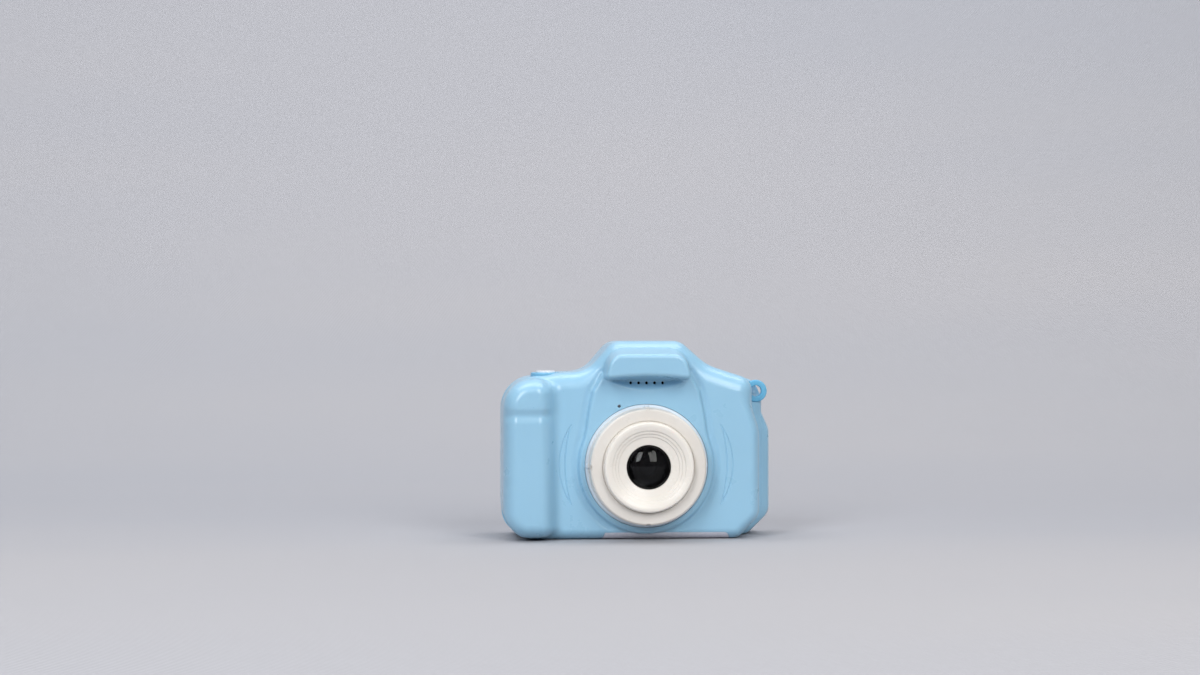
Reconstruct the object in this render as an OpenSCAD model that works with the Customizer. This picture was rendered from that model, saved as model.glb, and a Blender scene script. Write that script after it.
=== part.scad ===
// Children's compact digital camera: a moulded two-part case with a hand grip and a hooded
// hump, a fixed white lens barrel, push buttons, a rear screen and a hinged port cover.
// +X is the right-hand side seen from the front, +Y is the back, +Z is up.
// The origin is the middle of the bounding box, on the surface that the camera stands on.

/* [Case] */
// Width of the case
body_w = 82.4; // [81.6:0.2:84]
// Height of the case, to the top of the hump
body_h = 59.6; // [59.2:0.1:60.4]
// Thickness of the moulded walls
wall = 1.8; // [1.6:0.1:2]

/* [Depths] */
// Depth of the whole camera, from the lens rim to the keys
depth = 40; // [39.6:0.1:40.8]
// How far the lens rim stands in front of the flat face
lens_reach = 10.5; // [10.2:0.1:10.8]
// How far the grip stands in front of the flat face
grip_reach = 6.6; // [6.2:0.1:7]
// How far the hood stands in front of the flat face
hood_reach = 8; // [7.6:0.1:8.4]
// How far the panel around the lens stands in front of the flat face
panel_reach = 1.1; // [0.9:0.1:1.3]
// How far the keys stand behind the back face
key_proud = 0.6; // [0.5:0.1:0.8]

/* [Lens] */
// Lens axis, to the right of the middle
lens_x = 1.7; // [1.5:0.1:2]
// Lens axis above the base
lens_z = 22.2; // [22:0.1:22.4]
// Radius of the white barrel
barrel_r = 17.3; // [17.1:0.1:17.5]
// Radius of the raised front disc
disc_r = 13.3; // [13.1:0.1:13.4]
// Radius of the black lens bezel
bezel_r = 6.5; // [6.2:0.1:6.6]

/* [Controls] */
// Radius of a rear key
key_r = 2.7; // [2.4:0.1:2.8]
// Distance of the direction keys from the middle one
key_pitch = 7; // [6.9:0.1:7.2]

/* [Hidden] */
$fn = 48;

half_w = body_w / 2;
rim_y = -depth / 2;                 // front of the lens rim
back_y = depth / 2 - key_proud;     // back face of the case
face_y = rim_y + lens_reach;        // flat front face of the case
panel_y = face_y - panel_reach;     // face of the panel around the lens
grip_y = face_y - grip_reach;       // front of the grip
hood_y = face_y - hood_reach;       // front of the hood
part_y = 4;                         // parting line between the two shells
inner_y = face_y + wall;            // inside of the front wall
inner_back_y = back_y - wall;       // inside of the back wall
snug = 0.05;                        // gap between parts that rest on each other

lens_hole_r = barrel_r + 1.2;
hood_z = 48.6;
scoop_z = 46.6;
speaker_hole_z = 47;
speaker_hole_pitch = 2.4;
mic_at = [lens_x - 8.2, lens_z + 17.9];
crescent_tip = 22.4;                // crescent grooves, measured from the lens axis
crescent_half = 12;

shutter_at = [-28.1, -1.5];         // across, and front to back
shutter_seat_z = 48.9;
shutter_bore_r = 3.2;
top_board_z = [43, 44];

board_y = [12.6, 13.8];
battery_y = [5.6, 10.5];
window_x = [-14.6, 29.6];
window_z = [8.4, 42.6];
lcd_y = [15.3, inner_back_y - snug];
keys_at = [-26.5, 20];              // middle of the direction keys
mode_z = 34.4;
power_z = 43.2;

strap_at = [36.9, 44.2];
strap_y = [part_y + 0.4, part_y + 2.4];

cover_z = [11, 32];                 // port cover, up
cover_x = half_w - 1.2;             // inside face of the port cover
cover_y = [8.2, 15];                // hinge axis and free edge
hinge_x = half_w - 0.75;
port_y = 11.3;
usb_z = 15.4;
card_z = 25.4;

label_x = [-12, 27];
label_t = 0.15;
edge_z = 3.4;                       // rounding of the case's lower front edge, up
edge_y = 5;                         // and front to back

// Screws that join the two shells, as [x, z, start of the front boss]
case_screws_at = [
    [-34.8, 7.4, grip_y + wall - 0.4],
    [-35, 39.6, grip_y + wall - 0.4],
    [26, 45.9, inner_y - 0.4],
    [27, 5.2, inner_y - 0.4]
];
// Screws that hold the main board on the rear shell, as [x, z]
board_screws_at = [[-33.4, 27.2], [32.2, 36], [32, 10.2], [-17.8, 12]];
// Screws that hold the lens retainer on the front shell, as angles round the lens axis
lug_angles = [35, 145, 215, 325];
lug_r = 22.3;
function lug_at(a) = [lens_x + lug_r * cos(a), lens_z + lug_r * sin(a)];

// Rear keys, as [x, z]
key_ok_at = keys_at;
key_up_at = keys_at + [0, key_pitch];
key_down_at = keys_at - [0, key_pitch];
key_left_at = keys_at + [key_pitch, 0];
key_right_at = keys_at - [key_pitch, 0];
key_menu_at = [keys_at.x - 5, mode_z];
key_play_at = [keys_at.x + 5, mode_z];
key_power_at = [keys_at.x, power_z];
all_keys_at = [
    key_ok_at, key_up_at, key_down_at, key_left_at, key_right_at, key_menu_at, key_play_at, key_power_at
];

body_blue = [0.45, 0.68, 0.86];
trim_blue = [0.35, 0.66, 0.82];
lens_white = [0.9, 0.88, 0.84];
board_green = [0.05, 0.32, 0.16];
steel = [0.72, 0.73, 0.75];
dark = [0.05, 0.05, 0.06];

// ---------- curves and solids ----------

function mix(a, b, t) = a + (b - a) * t;
function unit(v) = v / norm(v);
function ramp(a, b, x) = let (t = min(1, max(0, (x - a) / (b - a)))) t * t * (3 - 2 * t);

// Points of the arc that rounds corner b, between a and c, with radius r
function corner_arc(a, b, c, r, steps = 4) =
    let (
        u = unit(a - b),
        v = unit(c - b),
        half = acos(u * v) / 2,
        centre = b + unit(u + v) * r / sin(half),
        start = b + u * r / tan(half) - centre,
        end = b + v * r / tan(half) - centre
    )
    [for (k = [0 : steps]) centre + r * unit(mix(start, end, k / steps))];

// A closed outline from [x, z, radius] corners
function rounded(corners) =
    let (n = len(corners), p = [for (c = corners) [c.x, c.y]])
    [for (i = [0 : n - 1]) each corner_arc(p[(i + n - 1) % n], p[i], p[(i + 1) % n], corners[i].z)];

// Corners of the case seen from the front. At bulge 0 it is the edge of the front shell, and
// at bulge 1 the rear shell, which swells out on the right around the sockets.
function case_corners(bulge) = [
    [-half_w, 0, 10.5],
    [-half_w, 47.6, 11],
    [-24, 50.1, 20],
    [-16, 50.4, 9],
    [-8.1, body_h, 5.5],
    [12.3, body_h, 5.5],
    [20.6, 52.3, 14],
    [half_w - mix(6.6, 2.3, bulge), mix(47.8, 46.6, bulge), mix(6, 10.5, bulge)],
    [half_w - mix(7.2, 2.3, bulge), mix(40.2, 37.6, bulge), mix(10, 3, bulge)],
    [half_w - mix(4.7, 0, bulge), 32.5, mix(12, 6, bulge)],
    [half_w - mix(4.7, 0, bulge), 6.8, 5],
    [half_w - mix(11.3, 6.9, bulge), 0, 4.5]
];

grip_corners = [
    [-half_w, 0.8, 9.7],
    [-half_w, 47.2, 10.4],
    [-26.7, 49.2, 5],
    [-25.9, 0.8, 4]
];

// Width of the rounding of the front edge at height z
function edge_width(z) = edge_z + 2.2 * ramp(37, 46, z) - 2.1 * ramp(50.5, 56, z);

// One slice of a rounded block at depth y. Share runs from 0 at the full outline to 1 at the
// foot of the rounding, whose width is edge, or follows edge_width if edge is 0.
function slice(outline, y, share, inset = 0, edge = 0) =
    let (n = len(outline))
    [for (i = [0 : n - 1])
        let (
            p = outline[i],
            along = unit(outline[(i + 1) % n] - outline[(i + n - 1) % n]),
            full = edge > 0 ? edge : edge_width(p.y),
            w = inset + share * max(0.3, full - inset)
        )
        [p.x + along.y * w, y, p.y - along.x * w]];

// A solid through a list of slices
module loft(slices) {
    n = len(slices[0]);
    m = len(slices);
    sides = [for (j = [0 : m - 2], i = [0 : n - 1])
        let (k = (i + 1) % n, a = j * n)
        [a + i, a + n + i, a + n + k, a + k]];
    front = [for (i = [0 : n - 1]) i];
    back = [for (i = [n - 1 : -1 : 0]) (m - 1) * n + i];
    polyhedron(points = [for (s = slices) each s], faces = concat(sides, [front, back]), convexity = 6);
}

// A round wire along the cubic curve with four control points
module wire(ctrl, r = 0.35, rings = 9, sides = 8) {
    line = [for (k = [0 : rings])
        let (t = k / rings, s = 1 - t)
        s * s * s * ctrl[0] + 3 * s * s * t * ctrl[1] + 3 * s * t * t * ctrl[2] + t * t * t * ctrl[3]];
    points = [for (k = [0 : rings])
        let (
            along = unit(line[min(rings, k + 1)] - line[max(0, k - 1)]),
            u = unit(cross(along, [1, 0.3, 0.2])),
            v = cross(along, u)
        )
        each [for (i = [0 : sides - 1])
            line[k] + r * (u * cos(i * 360 / sides) + v * sin(i * 360 / sides))]];
    last = rings * sides;
    walls = [for (j = [0 : rings - 1], i = [0 : sides - 1])
        let (k = (i + 1) % sides, a = j * sides, b = a + sides)
        each [[a + i, b + i, a + k], [a + k, b + i, b + k]]];
    caps = [for (i = [1 : sides - 2])
        each [[0, i, i + 1], [last, last + i + 1, last + i]]];
    polyhedron(points = points, faces = concat(walls, caps));
}

// Turned parts on an axis that runs front to back. Their local z is minus y.
module turned(at) translate([at.x, 0, at.y]) rotate([90, 0, 0]) children();

// A cylinder between two depths
module rod(at, y, r, r2 = -1) {
    translate([at.x, y[0], at.y])
        rotate([-90, 0, 0])
            cylinder(r1 = r, r2 = r2 < 0 ? r : r2, h = y[1] - y[0]);
}

// A plate with rounded corners, facing front and back
module slab(x, z, y, r) {
    translate([0, y[1], 0]) rotate([90, 0, 0]) linear_extrude(y[1] - y[0]) {
        translate([x[0] + r, z[0]]) square([x[1] - x[0] - 2 * r, z[1] - z[0]]);
        translate([x[0], z[0] + r]) square([x[1] - x[0], z[1] - z[0] - 2 * r]);
        for (px = [x[0] + r, x[1] - r], pz = [z[0] + r, z[1] - r])
            translate([px, pz]) circle(r = r, $fn = 24);
    }
}

module block(x, y, z) translate([x[0], y[0], z[0]]) cube([x[1] - x[0], y[1] - y[0], z[1] - z[0]]);

function span(c, w) = [c - w / 2, c + w / 2];

// ---------- the case ----------

// The front of the case without grip, hood or panel
module front_block(inset = 0) {
    outline = rounded(case_corners(0));
    front = face_y + inset;
    deep = edge_y - inset;
    step = inset > 0 ? 30 : 18;
    rim = [for (a = [0 : step : 90]) slice(outline, front + deep * (1 - cos(a)), 1 - sin(a), inset)];
    loft(concat(rim, [slice(outline, part_y + (inset > 0 ? 0.5 : 0), 0, inset)]));
}

// The hand grip
module grip_block(inset = 0) {
    outline = rounded(grip_corners);
    front = grip_y + inset;
    deep = grip_reach;
    step = inset > 0 ? 30 : 15;
    rim = [for (a = [0 : step : 90]) slice(outline, front + deep * (1 - cos(a)), 1 - sin(a), inset, 4.4)];
    loft(concat(rim, [slice(outline, face_y + 5, 0, inset)]));
}

// The back of the case
module rear_block(inset = 0) {
    edge = 3.2;
    start = part_y + (inset > 0 ? -0.5 : snug);
    lag = inset > 0 ? 1.6 : 0;
    swell = [for (s = [[0, 0], [0.5, 0.5], [1.4, 0.87], [2.8, 1]])
        slice(rounded(case_corners(s[1])), part_y + snug + lag + s[0], 0, inset)];
    outline = rounded(case_corners(1));
    rim = [for (a = [0 : 22.5 : 90])
        slice(outline, back_y - inset - (edge - inset) * (1 - sin(a)), 1 - cos(a), inset, edge)];
    first = inset > 0 ? [slice(rounded(case_corners(0)), start, 0, inset)] : [];
    loft(concat(first, swell, rim));
}

// The hood over the lens; layers step back from its face
module hood_block() {
    hull() {
        for (s = [[-1, 5.5, 7], [1, 5.5, 7], [-1, 1.2, 11.3], [1, 1.2, 11.3]]) {
            at = [lens_x + 0.1 + s[0] * s[2], hood_z + (s[1] > 2 ? 1.3 : 1.2)];
            rod(at, [hood_y + 0.9, hood_y + 2], s[1], $fn = 32);
            rod(at, [hood_y, hood_y + 1], s[1] - 0.8, $fn = 32);
        }
        slab(span(lens_x + 0.1, 25.6), [48.4, 58], [face_y + 3, face_y + 4], 4);
    }
}

// The keyhole-shaped panel that carries the collar round the lens
module panel_block() {
    for (s = [[0, 0], [0.5, 0.5]])
        hull() {
            rod([lens_x, lens_z], [panel_y + 0.5 - s[1], face_y + 0.6], 20.3 - s[0]);
            for (side = [-1, 1])
                rod(
                    [lens_x + side * 14.6, 47.6],
                    [panel_y + 0.5 - s[1], face_y + 0.6],
                    0.8 - s[0],
                    $fn = 16
                );
        }
}

// The dished recess under the hood
module scoop() {
    hull()
        for (side = [-1, 1])
            translate([lens_x + side * 9.6, panel_y - 1.5, scoop_z]) sphere(r = 3.2, $fn = 16);
}

// One crescent groove beside the lens
module crescent(side) {
    function reach(r, z) = sqrt(r * r - z * z) - sqrt(r * r - crescent_half * crescent_half);
    outer = [for (k = [-5 : 5]) let (z = crescent_half * k / 5) [crescent_tip + reach(21.2, z), z]];
    inner = [for (k = [-3 : 3])
        let (z = crescent_half * k / 3 * 0.96) [crescent_tip + 0.2 + reach(39.5, z), z]];
    translate([lens_x, face_y + 0.35, lens_z + 0.3])
        rotate([90, 0, 0])
            linear_extrude(2)
                for (line = [outer, inner], i = [0 : len(line) - 2])
                    hull()
                        for (k = [i, i + 1])
                            translate([side * line[k].x, line[k].y]) circle(r = 0.18, $fn = 6);
}

// The lower front edge of the case, between two distances outside it, for the label
module edge_strip(x, t0, t1, first = 22) {
    function edge_at(a, t) = [face_y + edge_y - (edge_y + t) * cos(a), edge_z - (edge_z + t) * sin(a)];
    angles = [for (k = [0 : 6]) mix(first, 90, k / 6)];
    outer = [for (a = angles) edge_at(a, t1)];
    inner = [for (k = [6 : -1 : 0]) edge_at(angles[k], t0)];
    back = face_y + edge_y + 2.5;
    translate([x[0], 0, 0])
        rotate([90, 0, 90])
            linear_extrude(x[1] - x[0])
                polygon(concat(outer, [[back, -t1], [back, -t0]], inner));
}

module front_shell() {
    color(body_blue)
        difference() {
            union() {
                front_block();
                grip_block();
                hood_block();
                panel_block();
            }
            // the space inside, less the bosses and the shelves under the top board
            difference() {
                union() {
                    front_block(wall);
                    intersection() {
                        grip_block(wall);
                        block([-half_w, 0], [-20, inner_y + 1], [0, body_h]);
                    }
                    hull()
                        for (side = [-1, 1])
                            rod([lens_x + side * 8, 51.8], [hood_y + wall, inner_y + 1], 1.5, $fn = 12);
                }
                for (s = case_screws_at)
                    rod([s.x, s.y], [s.z, part_y], 2.3, $fn = 24);
                for (a = lug_angles)
                    rod(lug_at(a), [inner_y - 0.3, -6 - snug], 1.65, $fn = 24);
                for (x = [[-34, -31.6], [-23.4, -21]])
                    block(x, [inner_y - 0.5, 2.8], [41.6, top_board_z[0] - snug]);
            }
            scoop();
            rod([lens_x, lens_z], [rim_y, inner_y + 1], lens_hole_r, $fn = 90);
            for (s = case_screws_at)
                rod([s.x, s.y], [-5, part_y + 1], 0.97, $fn = 12);
            for (a = lug_angles)
                rod(lug_at(a), [inner_y + 0.2, -5], 0.82, $fn = 12);
            for (k = [-2 : 2])
                rod(
                    [lens_x + 0.2 + k * speaker_hole_pitch, speaker_hole_z],
                    [-14, inner_y + 1],
                    0.45,
                    $fn = 12
                );
            rod(mic_at, [-14, inner_y + 1], 0.5, $fn = 12);
            for (side = [-1, 1])
                crescent(side);
            // seat and hole of the shutter bezel
            translate([shutter_at.x, shutter_at.y, shutter_seat_z - snug])
                cylinder(r = 4.6, h = 10, $fn = 32);
            translate([shutter_at.x, shutter_at.y, 45])
                cylinder(r = 3.98, h = 10, $fn = 32);
            edge_strip([label_x[0] - 0.15, label_x[1] + 0.15], -0.22, 1, 20);
        }
}

module rear_shell() {
    pins = [cover_z[0] - 1.2, cover_z[1] + 1.2];
    color(body_blue)
        difference() {
            rear_block();
            // the space inside, less the bosses, the corner that holds the strap loop and the
            // wall behind the port cover
            difference() {
                rear_block(wall);
                for (s = case_screws_at)
                    rod([s.x, s.y], [part_y - 2, back_y], 2.8, $fn = 20);
                for (s = board_screws_at)
                    rod([s.x, s.y], [board_y[1] + snug, back_y], 1.8, $fn = 12);
                rod(strap_at, [part_y - 2, 12], 5, $fn = 24);
                block([cover_x - 2.2, half_w], [part_y - 2, 16.4], [cover_z[0] - 1.9, cover_z[1] + 1.9]);
            }
            // screw wells and holes
            for (s = case_screws_at) {
                rod([s.x, s.y], [8, back_y + 1], 2, $fn = 20);
                rod([s.x, s.y], [part_y - 1, 9], 1.1, $fn = 12);
            }
            for (s = board_screws_at)
                rod([s.x, s.y], [board_y[1] - 1, 16.6], 0.8, $fn = 12);
            // seat for the window, and the opening that shows the screen
            hull()
                slab(window_x, window_z, [back_y - 1.2 - snug, back_y + 1], 3);
            block(
                [window_x[0] + 1.4, window_x[1] - 1.4],
                [inner_back_y - 1, back_y],
                [window_z[0] + 1.4, window_z[1] - 1.4]
            );
            for (k = all_keys_at)
                hull()
                    rod(k, [inner_back_y - 1, back_y + 1], key_r + 0.12, $fn = 24);
            // pocket for the port cover, its pins and a finger notch
            block(
                [cover_x - snug, half_w + 2],
                [7.2, cover_y[1] + 0.2],
                [cover_z[0] - 0.2, cover_z[1] + 0.2]
            );
            translate([hinge_x, cover_y[0], pins[0] - 0.1])
                cylinder(r = 0.52, h = pins[1] - pins[0] + 0.2, $fn = 16);
            translate([hinge_x, cover_y[0], cover_z[0] - 0.2])
                cylinder(r = 0.88, h = cover_z[1] - cover_z[0] + 0.4, $fn = 20);
            translate([half_w + 2.2, cover_y[1] + 0.2, mix(cover_z[0], cover_z[1], 0.5)])
                sphere(r = 3.2, $fn = 20);
            // seat of the strap loop, and the way out behind it
            rod(strap_at, [strap_y[0] - snug, strap_y[1] + snug], 3.5, $fn = 32);
            rod(strap_at, [part_y - 1, 9], 1.8, $fn = 24);
            translate([strap_at.x + 0.6, 9, strap_at.y + 0.3]) sphere(r = 2.3, $fn = 16);
            // ports
            block([30, half_w + 1], span(port_y, 3), span(usb_z, 8.4));
            block([20, half_w + 1], span(port_y + 0.35, 2.1), span(card_z, 12.6));
        }
}

module strap_loop() {
    color(trim_blue)
        difference() {
            union() {
                rod(strap_at, [strap_y[0] + 0.35, strap_y[1] - 0.35], 3.4);
                rod(strap_at, [strap_y[0], strap_y[0] + 0.36], 3.05, 3.4);
                rod(strap_at, [strap_y[1] - 0.36, strap_y[1]], 3.4, 3.05);
            }
            rod(strap_at, [strap_y[0] - 1, strap_y[1] + 1], 1.7);
        }
}

module port_cover() {
    color(body_blue)
        union() {
            block([cover_x, half_w], [cover_y[0] + 0.3, cover_y[1]], cover_z);
            translate([hinge_x, cover_y[0], cover_z[0]]) cylinder(r = 0.7, h = cover_z[1] - cover_z[0]);
            translate([hinge_x, cover_y[0], cover_z[0] - 1.1])
                cylinder(r = 0.45, h = cover_z[1] - cover_z[0] + 2.2);
        }
}

module rating_label() {
    color([0.82, 0.82, 0.9])
        edge_strip(label_x, -0.02 - label_t, -0.02);
}

// Round-headed screws whose shanks run forward into the front half
module case_screws() {
    color(steel)
        for (s = case_screws_at)
            difference() {
                union() {
                    rod([s.x, s.y], [6.6 + 1.4, 9.3], 1.8);
                    rod([s.x, s.y], [-4.5, 8], 0.9);
                }
                for (turn = [0, 90])
                    translate([s.x, 9.3, s.y]) rotate([0, turn, 0]) cube([2.2, 1.4, 0.4], center = true);
            }
}

// ---------- the lens ----------

module lens_barrel() {
    w = barrel_r;
    color(lens_white)
        difference() {
            union() {
                turned([lens_x, lens_z])
                    rotate_extrude($fn = 96)
                        polygon([
                            [9, 15], [13.6, 15], [13.6, 17.2], [13.9, 17.5], [w - 0.5, 17.5], [w, 17],
                            [w, 11], [w + 0.4, 10.6], [w + 1.1, 10.5], [w + 1.1, 7.65], [20.6, 7.65],
                            [20.6, 6.15], [w - 1.7, 6.15], [w - 1.7, 13.4], [9, 13.4]
                        ]);
                // small nubs on the rim of the flange
                for (a = [0 : 90 : 270])
                    rod(
                        [lens_x + (w + 0.3) * cos(a), lens_z + (w + 0.3) * sin(a)],
                        [-11.3, -9.7],
                        0.75,
                        $fn = 24
                    );
            }
            block([-20, 24], [-7.65, -5], [0, 3.9]);
            rod(mic_at, [-7.65, -5], 2.4);
        }
}

module lens_disc() {
    d = disc_r;
    color(lens_white)
        turned([lens_x, lens_z])
            rotate_extrude($fn = 96)
                polygon([
                    [bezel_r + 0.1, 17.9], [9.1, 18.3], [9.1, 18.6], [10, 18.8], [10, 19.1], [10.9, 19.3],
                    [10.9, 19.6], [12.2, depth / 2], [d - 0.4, depth / 2], [d, 19.6], [d, 15.05],
                    [d - 1.5, 15.05], [d - 1.5, 18], [10, 17.3], [8.4, 16.7], [8.4, 15.05],
                    [bezel_r + 0.1, 15.05]
                ]);
}

module lens_bezel() {
    b = bezel_r;
    color(dark)
        turned([lens_x, lens_z])
            rotate_extrude($fn = 96)
                polygon([
                    [b, 13.45], [b, 17.8], [b - 0.3, 18], [b - 0.6, 17.8], [b - 0.6, 16.4], [4.6, 16.4],
                    [2.6, 14.6], [2.6, 13.45]
                ]);
}

module front_lens() {
    ball = 10.6;
    apex = 18.35;
    color([0.75, 0.8, 0.85, 0.35])
        intersection() {
            translate([lens_x, ball - apex, lens_z]) sphere(r = ball, $fn = 96);
            rod([lens_x, lens_z], [-apex - 1, -16.45], bezel_r - 0.65, $fn = 96);
        }
}

// Image sensor on its little board, with the lens tube in front
module camera_module() {
    color(dark) {
        turned([lens_x, lens_z])
            rotate_extrude()
                polygon([[2, 8.45], [3.9, 8.45], [3.9, 11], [3.3, 11.3], [3.3, 13.2], [2, 13.2]]);
        block(span(lens_x, 8.4), [-8.45, -4.6], span(lens_z, 8.4));
    }
    color([0.3, 0.4, 0.5])
        rod([lens_x, lens_z], [-12.6, -11.8], 1.95);
    color(board_green)
        block(span(lens_x, 14), [-4.55, -3.75], span(lens_z, 14));
}

// Folded ribbon from the camera board to the main board
module camera_flex() {
    x = span(lens_x, 5);
    color([0.75, 0.5, 0.15])
        union() {
            block(x, [-3.7, -3.5], [24, 42.2]);
            block(x, [-3.7, 12.55], [42, 42.2]);
            block(x, [12.35, 12.55], [38, 42.2]);
        }
}

// Plate behind the barrel that clamps it to the front shell and carries the camera module
module lens_retainer() {
    color([0.15, 0.15, 0.17])
        difference() {
            union() {
                rod([lens_x, lens_z], [-6.1, -4.6], 20.6, $fn = 96);
                for (a = lug_angles)
                    rod(lug_at(a), [-6, -4.6], 2.6);
            }
            rod([lens_x, lens_z], [-7, -4], 6.3);
            block([-20, 24], [-7, -4], [0, 3.9]);
            rod(mic_at, [-7, -4], 2.4);
            for (a = lug_angles)
                rod(lug_at(a), [-7, -4], 0.95, $fn = 24);
        }
}

module retainer_screws() {
    color(steel)
        for (a = lug_angles)
            translate([lug_at(a).x, 0, lug_at(a).y])
                difference() {
                    union() {
                        rod([0, 0], [-4.55, -3.6], 1.6, $fn = 32);
                        rod([0, 0], [-7.2, -4.5], 0.75, $fn = 24);
                    }
                    for (turn = [0, 90])
                        translate([0, -3.6, 0]) rotate([0, turn, 0]) cube([2, 1, 0.35], center = true);
                }
}

// ---------- the shutter release ----------

module shutter_bezel() {
    color(trim_blue)
        translate([shutter_at.x, shutter_at.y, 0])
            rotate_extrude($fn = 64)
                polygon([
                    [shutter_bore_r, 47.2], [1.65, 47.2], [1.65, 46.2], [3.9, 46.2], [3.9, shutter_seat_z],
                    [4.5, shutter_seat_z], [4.5, 49.7], [4.1, 50.1], [3.5, 50.1], [shutter_bore_r, 49.8]
                ]);
}

// The cap, with a stem and a catch under the ledge of the bezel
module shutter_button() {
    r = shutter_bore_r - 0.06;
    color(lens_white)
        translate([shutter_at.x, shutter_at.y, 0])
            rotate_extrude($fn = 64)
                polygon([
                    [0, 50.75], [1.6, 50.7], [2.5, 50.5], [r, 50.15], [r, 48.95], [1.55, 48.95],
                    [1.55, 46.1], [2.1, 46.1], [2.1, 45.75], [0, 45.75]
                ]);
}

module shutter_spring() {
    turns = 2.5;
    steps = 20;
    r = 2.35;
    wire_r = 0.16;
    low = 47.2 + 0.22;
    high = 48.95 - 0.22;
    count = turns * steps;
    points = [for (k = [0 : count])
        let (a = 360 * k / steps, z = mix(low, high, k / count))
        each [for (i = [0 : 5])
            let (q = r + wire_r * cos(60 * i))
            [q * cos(a), q * sin(a), z + wire_r * sin(60 * i)]]];
    walls = [for (j = [0 : count - 1], i = [0 : 5])
        let (k = (i + 1) % 6, a = j * 6, b = a + 6)
        each [[a + i, a + k, b + i], [a + k, b + k, b + i]]];
    last = count * 6;
    caps = [for (i = [1 : 4]) each [[0, i + 1, i], [last, last + i, last + i + 1]]];
    color(steel)
        translate([shutter_at.x, shutter_at.y, 0])
            polyhedron(points = points, faces = concat(walls, caps));
}

// Small board with the switch under the shutter button
module top_board() {
    color(board_green)
        block([-34, -21], [-6, 2.6], top_board_z);
    color(steel)
        block(span(shutter_at.x, 4.2), span(shutter_at.y, 4.2), [top_board_z[1], top_board_z[1] + 0.6]);
    color(dark)
        translate([shutter_at.x, shutter_at.y, top_board_z[1] + 0.6]) cylinder(r = 1, h = 0.3, $fn = 32);
}

// ---------- the back ----------

module screen_window() {
    color([0.03, 0.03, 0.04])
        slab(
            [window_x[0] + snug, window_x[1] - snug],
            [window_z[0] + snug, window_z[1] - snug],
            [back_y - 1.2, back_y],
            3
        );
}

module lcd_panel() {
    color([0.1, 0.11, 0.13])
        block([window_x[0] + 0.7, window_x[1] - 0.9], lcd_y, [window_z[0] + 0.7, window_z[1] - 0.6]);
}

// Folded metal tray that backs the screen
module lcd_tray() {
    x = [window_x[0] + 0.3, window_x[1] - 0.5];
    z = [window_z[0] + 0.3, window_z[1] - 0.2];
    color(steel)
        difference() {
            block(x, [lcd_y[0] - 0.35, inner_back_y - 0.3], z);
            block([x[0] + 0.3, x[1] - 0.3], [lcd_y[0] - 0.05, inner_back_y], [z[0] + 0.3, z[1] - 0.3]);
        }
}

// Ribbon from the screen round the lower edge of the main board
module lcd_flex() {
    x = [6, 20];
    color([0.75, 0.5, 0.15])
        union() {
            block(x, [14.6, 14.8], [7, 12]);
            block(x, [11.9, 14.8], [7, 7.2]);
            block(x, [11.9, 12.1], [7, 11]);
            block([x[0] + 1, x[1] - 1], [12.05, 12.55], [9.5, 11]);
        }
}

// A rear key: cap, flange behind the wall, and stem; glyph is cut into the cap
module key_block(at, r = 0) {
    k = r > 0 ? r : key_r;
    color(lens_white)
        difference() {
            translate([at.x, 0, at.y])
                rotate([-90, 0, 0])
                    rotate_extrude()
                        polygon([
                            [0, depth / 2], [k - 0.6, depth / 2 - 0.02], [k - 0.15, depth / 2 - 0.15],
                            [k, depth / 2 - 0.5], [k, inner_back_y - snug],
                            [key_r + 0.5, inner_back_y - snug],
                            [key_r + 0.5, inner_back_y - 0.75], [1.2, inner_back_y - 0.75],
                            [1.2, board_y[1] + 1.45], [0, board_y[1] + 1.45]
                        ]);
            children();
        }
}

// An arrowhead cut, pointing along an angle in the plane of the back
module arrow_cut(at, angle) {
    translate([at.x, depth / 2 - 0.2, at.y])
        rotate([0, -angle, 0])
            rotate([-90, 0, 0])
                cylinder(r = 1, h = 1, $fn = 3);
}

module key_up() key_block(key_up_at) arrow_cut(key_up_at, 90);
module key_down() key_block(key_down_at) arrow_cut(key_down_at, -90);
module key_left() key_block(key_left_at) arrow_cut(key_left_at, 0);
module key_right() key_block(key_right_at) arrow_cut(key_right_at, 180);
module key_ok() key_block(key_ok_at) rod(key_ok_at, [depth / 2 - 0.2, depth / 2 + 1], 0.9, $fn = 32);

module key_menu() {
    key_block(key_menu_at)
        for (k = [-1 : 1])
            block(
                span(key_menu_at.x, 2.4),
                [depth / 2 - 0.2, depth / 2 + 1],
                span(key_menu_at.y + k * 0.8, 0.32)
            );
}

module key_play() {
    key_block(key_play_at) {
        for (s = [[0, 1.25], [90, 1.25]])
            translate([key_play_at.x, depth / 2 + 0.3, key_play_at.y])
                rotate([0, s[0], 0]) cube([2 * s[1], 1, 0.3], center = true);
        rod(key_play_at, [depth / 2 - 0.2, depth / 2 + 1], 0.55, $fn = 24);
    }
}

module key_power() {
    key_block(key_power_at)
        difference() {
            rod(key_power_at, [depth / 2 - 0.2, depth / 2 + 1], 1.4, $fn = 32);
            rod(key_power_at, [depth / 2 - 1, depth / 2 + 2], 1.05, $fn = 32);
        }
}

module key_switches() {
    for (k = all_keys_at) {
        color(steel)
            block(span(k.x, 3.6), [board_y[1], board_y[1] + 0.6], span(k.y, 3.6));
        color(dark)
            rod(k, [board_y[1] + 0.6, board_y[1] + 0.85], 1, $fn = 32);
    }
}

// ---------- electronics ----------

module main_board() {
    color(board_green)
        difference() {
            slab([-38.6, 33.6], [7.8, 44], board_y, 4);
            for (s = case_screws_at)
                rod([s.x, s.y], [12, 15], 3.1);
            for (s = board_screws_at)
                rod([s.x, s.y], [12, 15], 0.9, $fn = 24);
        }
}

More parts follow.
